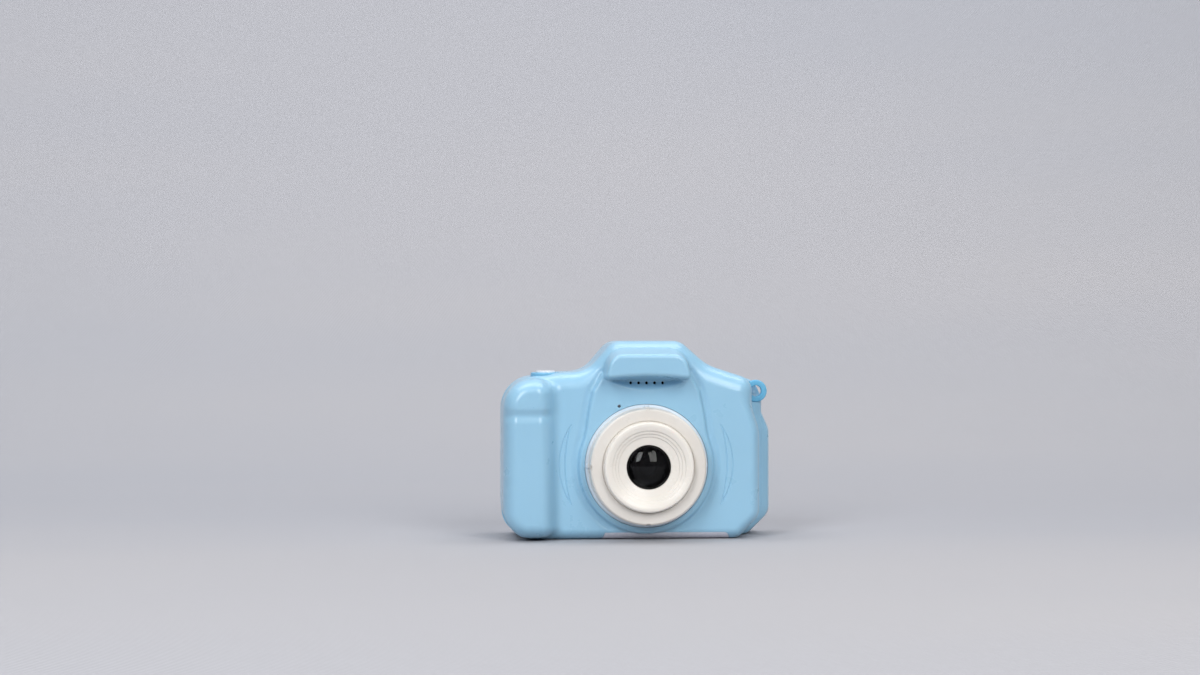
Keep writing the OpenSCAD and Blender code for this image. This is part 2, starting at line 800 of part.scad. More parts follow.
module board_screws() {
    color(steel)
        for (s = board_screws_at)
            difference() {
                union() {
                    rod([s.x, s.y], [11.6, 12.55], 1.6, $fn = 32);
                    rod([s.x, s.y], [12.5, 16.3], 0.7, $fn = 24);
                }
                for (turn = [0, 90])
                    translate([s.x, 11.6, s.y]) rotate([0, turn, 0]) cube([2, 1, 0.35], center = true);
            }
}

// Integrated circuits and small parts on the front of the main board
module board_chips() {
    chips = [
        [-27, 18, 9, 9, 1], [-27, 30, 8, 5, 0.9], [-36, 17, 2.4, 3.2, 0.9], [-19.6, 24, 2, 5, 1.1],
        [-19.6, 31, 1.2, 2, 0.6], [-27, 36.5, 4, 4, 0.9], [-20, 38.5, 5, 3, 1.1], [22, 38.5, 3, 3, 1],
        [27.5, 39.5, 2, 1.2, 0.6], [21, 27, 3, 4, 1.1], [21, 15, 1.2, 2, 0.6], [-28, 10.5, 6, 2.4, 1]
    ];
    color(dark)
        for (c = chips)
            block(span(c[0], c[2]), [board_y[0] - c[4], board_y[0] - 0.02], span(c[1], c[3]));
}

module usb_socket() {
    x = [34, 39.5];
    color(steel)
        difference() {
            block(x, [10, board_y[0] - 0.02], span(usb_z, 7.5));
            block([x[0] + 0.4, x[1] + 1], [10.3, board_y[0] - 0.32], span(usb_z, 6.9));
        }
    color(dark)
        block([x[0] + 0.4, x[1] - 1], [11, 11.5], span(usb_z, 4.6));
}

module card_socket() {
    x = [25.5, 39.3];
    color(steel)
        difference() {
            block(x, [10.7, board_y[0] - 0.02], span(card_z, 12.2));
            block([x[0] + 0.4, x[1] + 1], [10.95, board_y[0] - 0.6], span(card_z, 11.4));
        }
}

module battery() {
    color([0.75, 0.77, 0.8])
        slab([-16, 16], [8.5, 38.5], battery_y, 1.5);
    color([0.8, 0.6, 0.15])
        block([-8, 8], [6.6, 9.4], [38.5, 40]);
}

module battery_tape() {
    color([0.2, 0.2, 0.2])
        for (x = [[-15, -9], [9, 15]])
            block(x, [battery_y[1] + 0.02, board_y[0] - 0.02], [12, 36]);
}

// Two wires from the battery to the main board
module battery_leads() {
    for (s = [[-5, -13, 43.6, [0.7, 0.1, 0.1]], [-3.6, -14.4, 45.6, [0.05, 0.05, 0.05]]])
        color(s[3])
            wire([[s[0], 8, 40.05], [s[0], 8, s[2]], [s[1], 8.5, s[2]], [s[1], 12.2, 40.5]]);
}

module speaker() {
    at = [lens_x + 0.2, 47];
    color([0.12, 0.12, 0.13])
        difference() {
            slab(span(at.x, 15), span(at.y, 7.6), [inner_y + snug, inner_y + 3.4], 2);
            rod(at, [inner_y - 1, inner_y + 0.5], 3);
        }
    color([0.4, 0.4, 0.42])
        rod(at, [inner_y + 0.3, inner_y + 0.5], 2.9);
}

module speaker_leads() {
    for (s = [[6, [0.7, 0.1, 0.1]], [7.4, [0.05, 0.05, 0.05]]])
        color(s[1])
            wire([[s[0], -4.2, 47], [s[0], 3, 49.5], [s[0] + 6, 9, 47], [s[0] + 5, 12.45, 42]]);
}

module microphone() {
    color(steel)
        rod(mic_at, [inner_y + snug, inner_y + 2], 2, $fn = 32);
}

front_shell();
rear_shell();
strap_loop();
port_cover();
rating_label();
case_screws();
lens_barrel();
lens_disc();
lens_bezel();
front_lens();
camera_module();
camera_flex();
lens_retainer();
retainer_screws();
shutter_bezel();
shutter_button();
shutter_spring();
top_board();
screen_window();
lcd_panel();
lcd_tray();
lcd_flex();
key_up();
key_down();
key_left();
key_right();
key_ok();
key_menu();
key_play();
key_power();
key_switches();
main_board();
board_screws();
board_chips();
usb_socket();
card_socket();
battery();
battery_tape();
battery_leads();
speaker();
speaker_leads();
microphone();
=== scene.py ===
import math

import bmesh
import bpy
import numpy as np
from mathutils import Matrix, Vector


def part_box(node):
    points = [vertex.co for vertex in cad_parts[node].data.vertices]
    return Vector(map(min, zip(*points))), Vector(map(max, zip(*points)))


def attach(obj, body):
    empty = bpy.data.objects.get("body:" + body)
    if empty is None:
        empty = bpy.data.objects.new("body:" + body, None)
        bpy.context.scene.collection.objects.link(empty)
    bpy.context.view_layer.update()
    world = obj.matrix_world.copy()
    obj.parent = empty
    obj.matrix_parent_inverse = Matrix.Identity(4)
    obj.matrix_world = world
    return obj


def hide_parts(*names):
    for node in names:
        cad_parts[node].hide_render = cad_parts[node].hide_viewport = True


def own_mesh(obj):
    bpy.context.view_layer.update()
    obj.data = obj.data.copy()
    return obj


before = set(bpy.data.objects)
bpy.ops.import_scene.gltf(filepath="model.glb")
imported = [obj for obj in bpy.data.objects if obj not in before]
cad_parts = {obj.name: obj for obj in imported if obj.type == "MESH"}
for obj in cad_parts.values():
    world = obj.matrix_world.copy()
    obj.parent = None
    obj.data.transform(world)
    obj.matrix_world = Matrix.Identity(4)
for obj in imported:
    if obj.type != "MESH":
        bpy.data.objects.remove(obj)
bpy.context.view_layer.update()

MM = 0.001
scene = bpy.context.scene


def mm_box(node):
    """A node's box in millimetres, as (lowest, highest)."""
    low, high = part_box(node)
    return np.array(low) / MM, np.array(high) / MM


# --- Sizes, in millimetres, read from the frame ---

DISC = mm_box("lens_disc")
REAR = mm_box("rear_shell")
BUTTON = mm_box("shutter_button")
STRAP = mm_box("strap_loop")
COVER = mm_box("port_cover")
WINDOW = mm_box("screen_window")
LABEL = mm_box("rating_label")

LENS_X = (DISC[0][0] + DISC[1][0]) / 2
LENS_Z = (DISC[0][2] + DISC[1][2]) / 2
RIM_Y = DISC[0][1]
HALF_W = REAR[1][0]
BODY_H = REAR[1][2]
BACK_Y = WINDOW[1][1]
FACE_Y = RIM_Y + 10.5
PANEL_Y = FACE_Y - 1.1
GRIP_Y = FACE_Y - 6.6
HOOD_Y = FACE_Y - 8.0
PART_Y = 4.0
WALL = 1.8
HOOD_X = LENS_X + 0.1
EDGE_WIDTH, EDGE_DEEP = 3.4, 5.0
BOSS_R, BOSS_FILLET = 2.7, 1.6
BARREL_HOLE_R = 18.5
# Radii of the barrel band painted bluish, a painted reflection of the blue case.
FLANGE_FROM, FLANGE_TO = 17.3, 17.8
WINDOW_CORNER, WINDOW_LEDGE, WINDOW_GAP = 3, 1.4, 0.05


def smoothstep(a, b, v):
    t = np.clip((v - a) / (b - a), 0, 1)
    return t * t * (3 - 2 * t)


def mix(a, b, t):
    return a + (b - a) * t


def rounded(corners, step=6.0):
    """Outline through corners [x, z, radius], each rounded by an arc."""
    out = []
    n = len(corners)
    for i in range(n):
        p = np.array(corners[i][:2], float)
        a = np.array(corners[i - 1][:2], float) - p
        b = np.array(corners[(i + 1) % n][:2], float) - p
        la, lb = np.linalg.norm(a), np.linalg.norm(b)
        a, b = a / la, b / lb
        half = math.acos(np.clip(a @ b, -1, 1)) / 2
        r = corners[i][2]
        reach = min(r / math.tan(half), 0.499 * la, 0.499 * lb)
        r = reach * math.tan(half)
        mid = (a + b) / np.linalg.norm(a + b)
        centre = p + mid * (r / math.sin(half))
        start = p + a * reach - centre
        end = p + b * reach - centre
        turn = math.atan2(start[0] * end[1] - start[1] * end[0], start @ end)
        count = max(2, int(abs(math.degrees(turn)) / step) + 1)
        for k in range(count + 1):
            t = turn * k / count
            c, s = math.cos(t), math.sin(t)
            out.append(centre + [start[0] * c - start[1] * s, start[0] * s + start[1] * c])
    return np.array(out)


def distance(outline, x, z):
    """Signed distance from an outline, negative inside."""
    x, z = np.broadcast_arrays(np.asarray(x, float), np.asarray(z, float))
    shape = x.shape
    px, pz = x.ravel(), z.ravel()
    best = np.full(px.shape, 1e9)
    inside = np.zeros(px.shape, bool)
    for a, b in zip(outline, np.roll(outline, -1, axis=0)):
        d = b - a
        length = d @ d
        if length < 1e-12:
            continue
        t = np.clip(((px - a[0]) * d[0] + (pz - a[1]) * d[1]) / length, 0, 1)
        best = np.minimum(best, (px - a[0] - t * d[0]) ** 2 + (pz - a[1] - t * d[1]) ** 2)
        if a[1] != b[1]:
            crosses = ((a[1] > pz) != (b[1] > pz)) & (
                px < (b[0] - a[0]) * (pz - a[1]) / (b[1] - a[1]) + a[0])
            inside ^= crosses
    return np.where(inside, -1, 1).reshape(shape) * np.sqrt(best).reshape(shape)


def case_corners(bulge):
    return [
        [-HALF_W, 0, 10.5], [-HALF_W, 47.6, 11], [-24, 50.1, 20], [-16, 50.4, 9],
        [-8.1, BODY_H, 5.5], [12.3, BODY_H, 5.5], [20.6, 52.3, 14],
        [HALF_W - mix(6.6, 2.3, bulge), mix(47.8, 46.6, bulge), mix(6, 10.5, bulge)],
        [HALF_W - mix(7.2, 2.3, bulge), mix(40.2, 37.6, bulge), mix(10, 3, bulge)],
        [HALF_W - mix(4.7, 0, bulge), 32.5, mix(12, 6, bulge)],
        [HALF_W - mix(4.7, 0, bulge), 6.8, 5],
        [HALF_W - mix(11.3, 6.9, bulge), 0, 4.5],
    ]


def arch(z_mid, z_end, half, points=9):
    """Points of a low arch from right to left under the hood."""
    return [[HOOD_X + half * t, z_mid - (z_mid - z_end) * t * t, 0.6]
            for t in np.linspace(1, -1, points)]


OUTLINE_FRONT = rounded(case_corners(0))
OUTLINE_REAR = rounded(case_corners(1))
OUTLINE_GRIP = rounded([[-HALF_W, 0.8, 9.7], [-HALF_W, 47.2, 10.4], [-26.6, 49.2, 5],
                        [-25.8, 0.8, 4]])
OUTLINE_HOOD = rounded([[HOOD_X - 12.6, 48.6, 0.9], [HOOD_X - 11.0, 55.5, 5.2],
                        [HOOD_X + 11.0, 55.5, 5.2], [HOOD_X + 12.6, 48.6, 0.9]]
                       + arch(49.4, 48.75, 10.5))
OUTLINE_HUMP = rounded([[HOOD_X - 13.6, 47.6, 1.5], [HOOD_X - 11.6, 58.0, 6],
                        [HOOD_X + 11.6, 58.0, 6], [HOOD_X + 13.6, 47.6, 1.5]])
PANEL_HALF = [(48.8, 15.3), (44.5, 16.0), (40.0, 17.0), (35.0, 18.4)]


def panel_outline():
    """The keyhole: a circle round the lens that widens into a trapezoid under the hood."""
    radius = 20.4
    right = []
    for t in np.radians(np.arange(-90, 31, 5)):
        right.append([LENS_X + radius * math.cos(t), LENS_Z + radius * math.sin(t)])
    neck = [[LENS_X + half, z] for z, half in reversed(PANEL_HALF)]
    top = [[LENS_X + 13.1, 56.0]]
    side = right + neck + top
    left = [[2 * LENS_X - x, z] for x, z in reversed(side)]
    points = np.array(side + left[:-1])
    for _ in range(2):
        points = 0.5 * points + 0.25 * (np.roll(points, 1, axis=0) + np.roll(points, -1, axis=0))
    return points


OUTLINE_PANEL = panel_outline()


def edge_width(z):
    """Width of the rounding of the front edge: wider at the shoulders."""
    return EDGE_WIDTH + 2.2 * smoothstep(37, 46, z) - 2.1 * smoothstep(50.5, 56, z)


def blend_min(a, b, k):
    """Smallest of two fields, with a fillet of size k between them."""
    k = np.maximum(k, 1e-4)
    h = np.clip(0.5 + 0.5 * (b - a) / k, 0, 1)
    return b * (1 - h) + a * h - k * h * (1 - h)


def slab_field(s, y, front, width, deep):
    """Field of a block whose front edge is rounded: s is the distance inside its outline."""
    u = (width - s) / width
    v = (front + deep - y) / deep
    up, vp = np.maximum(u, 0), np.maximum(v, 0)
    q = np.sqrt(up * up + vp * vp)
    scale = (up * width + vp * deep) / np.maximum(up + vp, 1e-6)
    corner = (q - 1) * np.where(q > 1e-6, scale, 1)
    core = np.maximum(-s, front - y)
    return np.where(q > 1e-3, corner, np.maximum(core, -np.minimum(width, deep)))


def flat_fields(x, z):
    """The two-dimensional distances that the case is built from."""
    return {
        "x": x, "z": z,
        "front": distance(OUTLINE_FRONT, x, z),
        "rear": distance(OUTLINE_REAR, x, z),
        "grip": distance(OUTLINE_GRIP, x, z),
        "hood": distance(OUTLINE_HOOD, x, z),
        "hump": distance(OUTLINE_HUMP, x, z),
        "panel": distance(OUTLINE_PANEL, x, z),
    }


SWELL_Y = [4.05, 4.55, 5.45, 6.85]
SWELL = [0, 0.5, 0.87, 1]
REAR_EDGE = 3.2


def case_field(d, y, inset=0.0):
    """Negative inside the case. With an inset, the space inside its walls."""
    x, z = d["x"], d["z"]
    bulge = np.interp(y, np.array(SWELL_Y), SWELL)
    s = -mix(d["front"], d["rear"], bulge) - inset
    shift = 0.0
    if inset == 0:
        out = d["panel"]
        valley = 0.5 * np.exp(-((out - 0.9) / 1.0) ** 2)
        valley = valley * smoothstep(1.0, 4.0, s)
        under = 48.9 - 4.3 * (1 - ((x - HOOD_X) / 14) ** 2)
        dish = 2.2 * smoothstep(0, 3.0, z - under) * smoothstep(14.2, 12.0, np.abs(x - HOOD_X))
        dish = dish * smoothstep(51.5, 49.8, z)
        shift = valley + 0.4 * dish
    width = np.maximum(edge_width(z) - inset, 0.6)
    body = slab_field(s, y - shift, FACE_Y + inset, width, EDGE_DEEP - inset)

    fade = smoothstep(0.3, 4.0, s)
    swell = 0.55 * np.exp(-((z - 37.5) / 1.5) ** 2) - 0.5 * smoothstep(36.8, 39.8, z)
    grip_front = GRIP_Y + inset + (swell if inset == 0 else 0)
    grip_width = np.maximum(4.5 - inset, 0.6)
    grip = slab_field(-d["grip"] - inset, y, grip_front, grip_width, 6.6 - inset)
    right_side = smoothstep(-35.5, -31.5, x)
    field = blend_min(body, grip, 3.4 * fade * right_side if inset == 0 else 0.3)

    t = np.clip((y - HOOD_Y) / 10.5, 0, 1)
    hood_s = -mix(d["hood"], d["hump"], t) - inset
    hood = slab_field(hood_s, y, HOOD_Y + inset, 1.0 if inset == 0 else 0.6, 1.0)
    hood = np.maximum(hood, y - 3.0)
    field = blend_min(field, hood, 1.1 * fade if inset == 0 else 0.3)

    if inset == 0:
        panel = slab_field(-d["panel"], y - dish, PANEL_Y, 1.1, 1.0)
        panel = np.maximum(panel, y)
        field = blend_min(field, panel, 0.7)
        field = np.maximum(field, np.where(y < PART_Y, d["front"], -9))
    back = slab_field(s, -y, -(BACK_Y - inset), REAR_EDGE - inset * 0.9, REAR_EDGE - inset * 0.9)
    field = np.maximum(field, np.where(y > 6, back, -9))
    return field


SCREWS = [(-34.8, 7.4), (-35.0, 39.6), (26.0, 45.9), (27.0, 5.2)]
STRAP_AT = ((STRAP[0][0] + STRAP[1][0]) / 2, (STRAP[0][2] + STRAP[1][2]) / 2)


def void_field(d, y):
    """The space inside the walls, less the screw bosses, strap's corner and port block."""
    x, z = d["x"], d["z"]
    field = case_field(d, y, WALL)
    for sx, sz in SCREWS:
        r = np.hypot(x - sx, z - sz)
        field = -blend_min(-field, r - BOSS_R, BOSS_FILLET)
    r = np.hypot(x - STRAP_AT[0], z - STRAP_AT[1])
    corner = np.maximum(np.maximum(r - 5, PART_Y - 2 - y), y - 12)
    field = -blend_min(-field, corner, BOSS_FILLET)
    block = np.maximum(np.maximum(HALF_W - 3.4 - x, COVER[0][2] - 1.2 - z), z - COVER[1][2] - 1.2)
    block = np.maximum(block, np.maximum(PART_Y - 1.5 - y, y - 16.4))
    return -blend_min(-field, block, BOSS_FILLET)


def surface_net(field, low, high, step):
    """Quads round the zero level of a field, on a regular grid."""
    axes = [np.arange(low[i], high[i] + step, step) for i in range(3)]
    gx, gz = axes[0][:, None, None], axes[2][None, None, :]
    d = flat_fields(*np.broadcast_arrays(gx, gz))
    v = field(d, axes[1][None, :, None]) * np.ones((1, len(axes[1]), 1))
    inside = v < 0
    n = np.array(v.shape)
    total = np.zeros(tuple(n - 1) + (3,))
    count = np.zeros(tuple(n - 1))
    for axis in range(3):
        sl0 = [slice(None)] * 3
        sl1 = [slice(None)] * 3
        sl0[axis], sl1[axis] = slice(0, -1), slice(1, None)
        a, b = v[tuple(sl0)], v[tuple(sl1)]
        cut = inside[tuple(sl0)] != inside[tuple(sl1)]
        t = np.where(cut, a / np.where(cut, a - b, 1), 0)
        others = [k for k in range(3) if k != axis]
        for i in (0, 1):
            for j in (0, 1):
                sel = [slice(None)] * 3
                sel[others[0]] = slice(i, n[others[0]] - 1 + i)
                sel[others[1]] = slice(j, n[others[1]] - 1 + j)
                sel[axis] = slice(0, n[axis] - 1)
                c = cut[tuple(sel)]
                count += c
                offset = [0.0, 0.0, 0.0]
                offset[others[0]], offset[others[1]] = i, j
                for k in range(3):
                    total[..., k] += c * (t[tuple(sel)] if k == axis else offset[k])
    used = count > 0
    ids = -np.ones(count.shape, int)
    ids[used] = np.arange(used.sum())
    cells = np.argwhere(used)
    local = total[used] / count[used][:, None]
    points = np.array([a[0] for a in axes]) + (cells + local) * step
    faces = []
    for axis in range(3):
        u, w = (axis + 1) % 3, (axis + 2) % 3
        sl0 = [slice(None)] * 3
        sl1 = [slice(None)] * 3
        sl0[axis], sl1[axis] = slice(0, -1), slice(1, None)
        cut = inside[tuple(sl0)] != inside[tuple(sl1)]
        out = inside[tuple(sl0)] & cut
        where = np.argwhere(cut)
        where = where[(where[:, u] > 0) & (where[:, w] > 0)]
        flip = ~out[tuple(where.T)]
        corner = []
        for du, dw in ((1, 1), (0, 1), (0, 0), (1, 0)):
            c = where.copy()
            c[:, u] -= du
            c[:, w] -= dw
            corner.append(ids[tuple(c.T)])
        q = np.stack(corner, 1)
        q[flip] = q[flip][:, ::-1]
        faces.append(q)
    return points, np.concatenate(faces)


def project(field, points, rounds=5, reach=0.25):
    """Moves points onto the zero level of a field."""
    p = points.copy()
    e = 0.02
    for _ in range(rounds):
        f0 = field(flat_fields(p[:, 0], p[:, 2]), p[:, 1])
        grad = np.stack([
            field(flat_fields(p[:, 0] + e, p[:, 2]), p[:, 1]) - f0,
            field(flat_fields(p[:, 0], p[:, 2]), p[:, 1] + e) - f0,
            field(flat_fields(p[:, 0], p[:, 2] + e), p[:, 1]) - f0], 1) / e
        size = np.maximum((grad ** 2).sum(1), 0.05)
        move = -grad * (f0 / size)[:, None]
        long = np.linalg.norm(move, axis=1)
        move *= np.minimum(1, reach / np.maximum(long, 1e-9))[:, None]
        p += move
    return p


def normals_at(field, points):
    """Unit gradients of a field."""
    e = 0.06
    out = []
    for k in range(3):
        a, b = points.copy(), points.copy()
        a[:, k] += e
        b[:, k] -= e
        out.append(field(flat_fields(a[:, 0], a[:, 2]), a[:, 1])
                   - field(flat_fields(b[:, 0], b[:, 2]), b[:, 1]))
    g = np.stack(out, 1)
    return g / np.maximum(np.linalg.norm(g, axis=1), 1e-9)[:, None]


# --- Mesh helpers ---

def make(name, points, faces):
    """A mesh object from points in millimetres."""
    mesh = bpy.data.meshes.new(name)
    mesh.from_pydata((np.asarray(points) * MM).tolist(), [], [list(map(int, f)) for f in faces])
    mesh.update()
    mesh.validate()
    obj = bpy.data.objects.new(name, mesh)
    scene.collection.objects.link(obj)
    return obj


def smooth(obj, angle=32):
    obj.data.shade_smooth()
    obj.data.set_sharp_from_angle(angle=math.radians(angle))
    return obj


def fillet(profile, radius, step=15.0):
    """A closed profile with its corners rounded; radius is one number or one for each corner."""
    radii = radius if hasattr(radius, "__len__") else [radius] * len(profile)
    return rounded([[p[0], p[1], max(r, 1e-3)] for p, r in zip(profile, radii)], step)


def lathe(profile, segments=160):
    """Points and faces of a closed [radius, height] profile turned about Z. Radius 0 is a pole."""
    prof = np.array(profile, float)
    m = len(prof)
    points, index = [], []
    for r, h in prof:
        if r < 1e-4:
            index.append([len(points)] * segments)
            points.append([0, 0, h])
        else:
            index.append(list(range(len(points), len(points) + segments)))
            for k in range(segments):
                t = 2 * math.pi * k / segments
                points.append([r * math.cos(t), r * math.sin(t), h])
    faces = []
    for i in range(m):
        a, b = index[i], index[(i + 1) % m]
        if len(set(a)) == 1 and len(set(b)) == 1:
            continue
        for k in range(segments):
            j = (k + 1) % segments
            quad = []
            for v in (a[k], a[j], b[j], b[k]):
                if v not in quad:
                    quad.append(v)
            if len(quad) > 2:
                faces.append(quad)
    points = np.array(points)
    area = sum((prof[i][0] * prof[(i + 1) % m][1] - prof[(i + 1) % m][0] * prof[i][1])
               for i in range(m))
    if area < 0:
        faces = [f[::-1] for f in faces]
    return points, faces


def facing_front(points, x, z):
    """Turns lathe points so that height runs towards -Y, about the axis at x, z."""
    return np.stack([points[:, 0] + x, -points[:, 2], points[:, 1] + z], 1)


def facing_back(points, x, z):
    return np.stack([-points[:, 0] + x, points[:, 2], points[:, 1] + z], 1)


def joined(parts):
    points, faces, start = [], [], 0
    for p, f in parts:
        points.append(np.asarray(p, float))
        faces += [[v + start for v in face] for face in f]
        start += len(p)
    return np.concatenate(points), faces


def prism(outline, y0, y1):
    """Solid between two depths, over an [x, z] outline."""
    o = np.asarray(outline, float)
    n = len(o)
    area = np.sum(o[:, 0] * np.roll(o[:, 1], -1) - np.roll(o[:, 0], -1) * o[:, 1])
    if area < 0:
        o = o[::-1]
    points = np.concatenate([np.stack([o[:, 0], np.full(n, y), o[:, 1]], 1) for y in (y0, y1)])
    faces = [list(range(n)), list(range(2 * n - 1, n - 1, -1))]
    for i in range(n):
        k = (i + 1) % n
        faces.append([i, n + i, n + k, k])
    return points, faces


def circle(x, z, r, n=48):
    t = np.linspace(0, 2 * math.pi, n, endpoint=False)
    return np.stack([x + r * np.cos(t), z + r * np.sin(t)], 1)


def box_points(low, high):
    return prism([[low[0], low[2]], [high[0], low[2]], [high[0], high[2]], [low[0], high[2]]],
                 low[1], high[1])


def tube(path, radius, sides=10, lean=(0, 1, 0)):
    """A closed tube along a path that never runs along lean, with flat ends."""
    path = np.array(path, float)
    n = len(path)
    points, faces = [], []
    for i in range(n):
        a = path[min(i + 1, n - 1)] - path[max(i - 1, 0)]
        a /= np.linalg.norm(a)
        side = np.cross(a, lean)
        side /= np.linalg.norm(side)
        up = np.cross(side, a)
        for k in range(sides):
            t = 2 * math.pi * k / sides
            points.append(path[i] + radius * (math.cos(t) * side + math.sin(t) * up))
    for i in range(n - 1):
        for k in range(sides):
            j = (k + 1) % sides
            faces.append([i * sides + k, i * sides + j, (i + 1) * sides + j, (i + 1) * sides + k])
    faces.append(list(range(sides - 1, -1, -1)))
    faces.append([(n - 1) * sides + k for k in range(sides)])
    return np.array(points), faces


def cut(obj, parts, operation="DIFFERENCE"):
    """Cuts closed solids out of obj one after another, or joins them to it."""
    tools = []
    for k, (points, faces) in enumerate(parts):
        tool = outward(make(f"cutter_{k}", points, faces))
        tools.append(tool)
        mod = obj.modifiers.new("cut", "BOOLEAN")
        mod.operation = operation
        mod.solver = "MANIFOLD"
        mod.object = tool
    depsgraph = bpy.context.evaluated_depsgraph_get()
    result = bpy.data.meshes.new_from_object(obj.evaluated_get(depsgraph))
    obj.modifiers.clear()
    obj.data = result
    for tool in tools:
        mesh = tool.data
        bpy.data.objects.remove(tool)
        bpy.data.meshes.remove(mesh)
    return obj


def outward(obj):
    """Makes the faces of a closed mesh point outwards."""
    bm = bmesh.new()
    bm.from_mesh(obj.data)
    bmesh.ops.recalc_face_normals(bm, faces=bm.faces)
    bm.to_mesh(obj.data)
    bm.free()
    return obj


def piece(name, parts, material, body="camera", replaces=(), angle=32):
    obj = outward(make(name, *joined(parts)))
    smooth(obj, angle)
    obj.data.materials.append(material)
    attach(obj, body)
    if replaces:
        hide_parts(*replaces)
    return obj


# --- Materials ---

def srgb(r, g, b):
    def lin(c):
        c /= 255
        return c / 12.92 if c <= 0.04045 else ((c + 0.055) / 1.055) ** 2.4
    return (lin(r), lin(g), lin(b), 1)


class Nodes:
    """Short hand for building a node tree."""

    def __init__(self, name):
        self.material = bpy.data.materials.new(name)
        self.material.use_nodes = True
        self.tree = self.material.node_tree
        self.bsdf = self.tree.nodes["Principled BSDF"]
        self.coord = self.add("ShaderNodeTexCoord").outputs["Object"]

    def add(self, kind, **values):
        node = self.tree.nodes.new(kind)
        for key, value in values.items():
            setattr(node, key, value)
        return node

    def link(self, a, b):
        self.tree.links.new(a, b)

    def noise(self, scale, detail=3.0, rough=0.5, stretch=None):
        node = self.add("ShaderNodeTexNoise")
        node.inputs["Scale"].default_value = scale
        node.inputs["Detail"].default_value = detail
        node.inputs["Roughness"].default_value = rough
        source = self.coord
        if stretch:
            mapping = self.add("ShaderNodeMapping")
            mapping.inputs["Scale"].default_value = stretch
            self.link(source, mapping.inputs["Vector"])
            source = mapping.outputs["Vector"]
        self.link(source, node.inputs["Vector"])
        return node.outputs["Fac"]

    def ramp(self, value, low, high, a=0.3, b=0.7):
        node = self.add("ShaderNodeMapRange")
        node.inputs["From Min"].default_value = a
        node.inputs["From Max"].default_value = b
        node.inputs["To Min"].default_value = low
        node.inputs["To Max"].default_value = high
        self.link(value, node.inputs["Value"])
        return node.outputs["Result"]

    def blend(self, factor, a, b):
        node = self.add("ShaderNodeMix", data_type="RGBA")
        self.put(node.inputs["Factor"], factor)
        self.put(node.inputs["A"], a)
        self.put(node.inputs["B"], b)
        return node.outputs["Result"]

    def math(self, operation, a, b=0.0):
        node = self.add("ShaderNodeMath", operation=operation)
        self.put(node.inputs[0], a)
        self.put(node.inputs[1], b)
        return node.outputs[0]

    def put(self, socket, value):
        if isinstance(value, bpy.types.NodeSocket):
            self.link(value, socket)
        else:
            socket.default_value = value

    def bump(self, heights):
        """heights: (value, strength, distance in metres), stacked."""
        last = None
        for value, strength, dist in heights:
            node = self.add("ShaderNodeBump")
            node.inputs["Strength"].default_value = strength
            node.inputs["Distance"].default_value = dist
            self.link(value, node.inputs["Height"])
            if last:
                self.link(last, node.inputs["Normal"])
            last = node.outputs["Normal"]
        self.link(last, self.bsdf.inputs["Normal"])


def plastic(name, colour, rough=0.4, grain=0.25, spread=0.05, coat=0.0, subsurface=0.0,
            sheen_dust=0.03, specular=0.5):
    """Moulded plastic: a fine grain, slow colour drift, uneven gloss and worn, paler edges."""
    n = Nodes(name)
    b = n.bsdf
    drift = n.ramp(n.noise(45, 3), 0, 1)
    base = tuple(colour)
    darker = tuple(c * (1 - spread) for c in base[:3]) + (1,)
    lighter = tuple(min(1, c * (1 + spread)) for c in base[:3]) + (1,)
    col = n.blend(drift, darker, lighter)
    edge = n.add("ShaderNodeNewGeometry").outputs["Pointiness"]
    edge = n.ramp(edge, 0, 0.16, 0.52, 0.6)
    col = n.blend(edge, col, tuple(min(1, c * 1.2 + 0.001) for c in base[:3]) + (1,))
    speck = n.ramp(n.noise(900, 2), 0, 1, 0.66, 0.78)
    dust = n.math("MULTIPLY", speck, sheen_dust)
    col = n.blend(dust, col, (0.9, 0.9, 0.9, 1))
    n.link(col, b.inputs["Base Color"])
    uneven = n.ramp(n.noise(160, 4), rough - 0.05, rough + 0.06)
    n.link(uneven, b.inputs["Roughness"])
    b.inputs["IOR"].default_value = 1.47
    b.inputs["Specular IOR Level"].default_value = specular
    b.inputs["Coat Weight"].default_value = coat
    b.inputs["Coat Roughness"].default_value = 0.22 if coat < 0.35 else 0.1
    if subsurface:
        b.inputs["Subsurface Weight"].default_value = subsurface
        b.inputs["Subsurface Radius"].default_value = (0.6, 0.8, 1.0)
        b.inputs["Subsurface Scale"].default_value = 0.0012
    fine = n.noise(5200, 2)
    broad = n.noise(420, 3)
    n.bump([(fine, grain, 0.00003), (broad, 0.12, 0.00008)])
    return n.material


def metal(name, colour, rough, brushed=True):
    """Metal with uneven gloss, in streaks where it is brushed."""
    n = Nodes(name)
    b = n.bsdf
    streak = n.noise(500, 3, 0.6, stretch=(1, 12, 12) if brushed else None)
    col = n.blend(n.ramp(streak, 0, 1), tuple(c * 0.85 for c in colour[:3]) + (1,), tuple(colour))
    n.link(col, b.inputs["Base Color"])
    n.link(n.ramp(streak, rough - 0.08, rough + 0.12), b.inputs["Roughness"])
    b.inputs["Metallic"].default_value = 1.0
    n.bump([(streak, 0.15, 0.00003)])
    return n.material


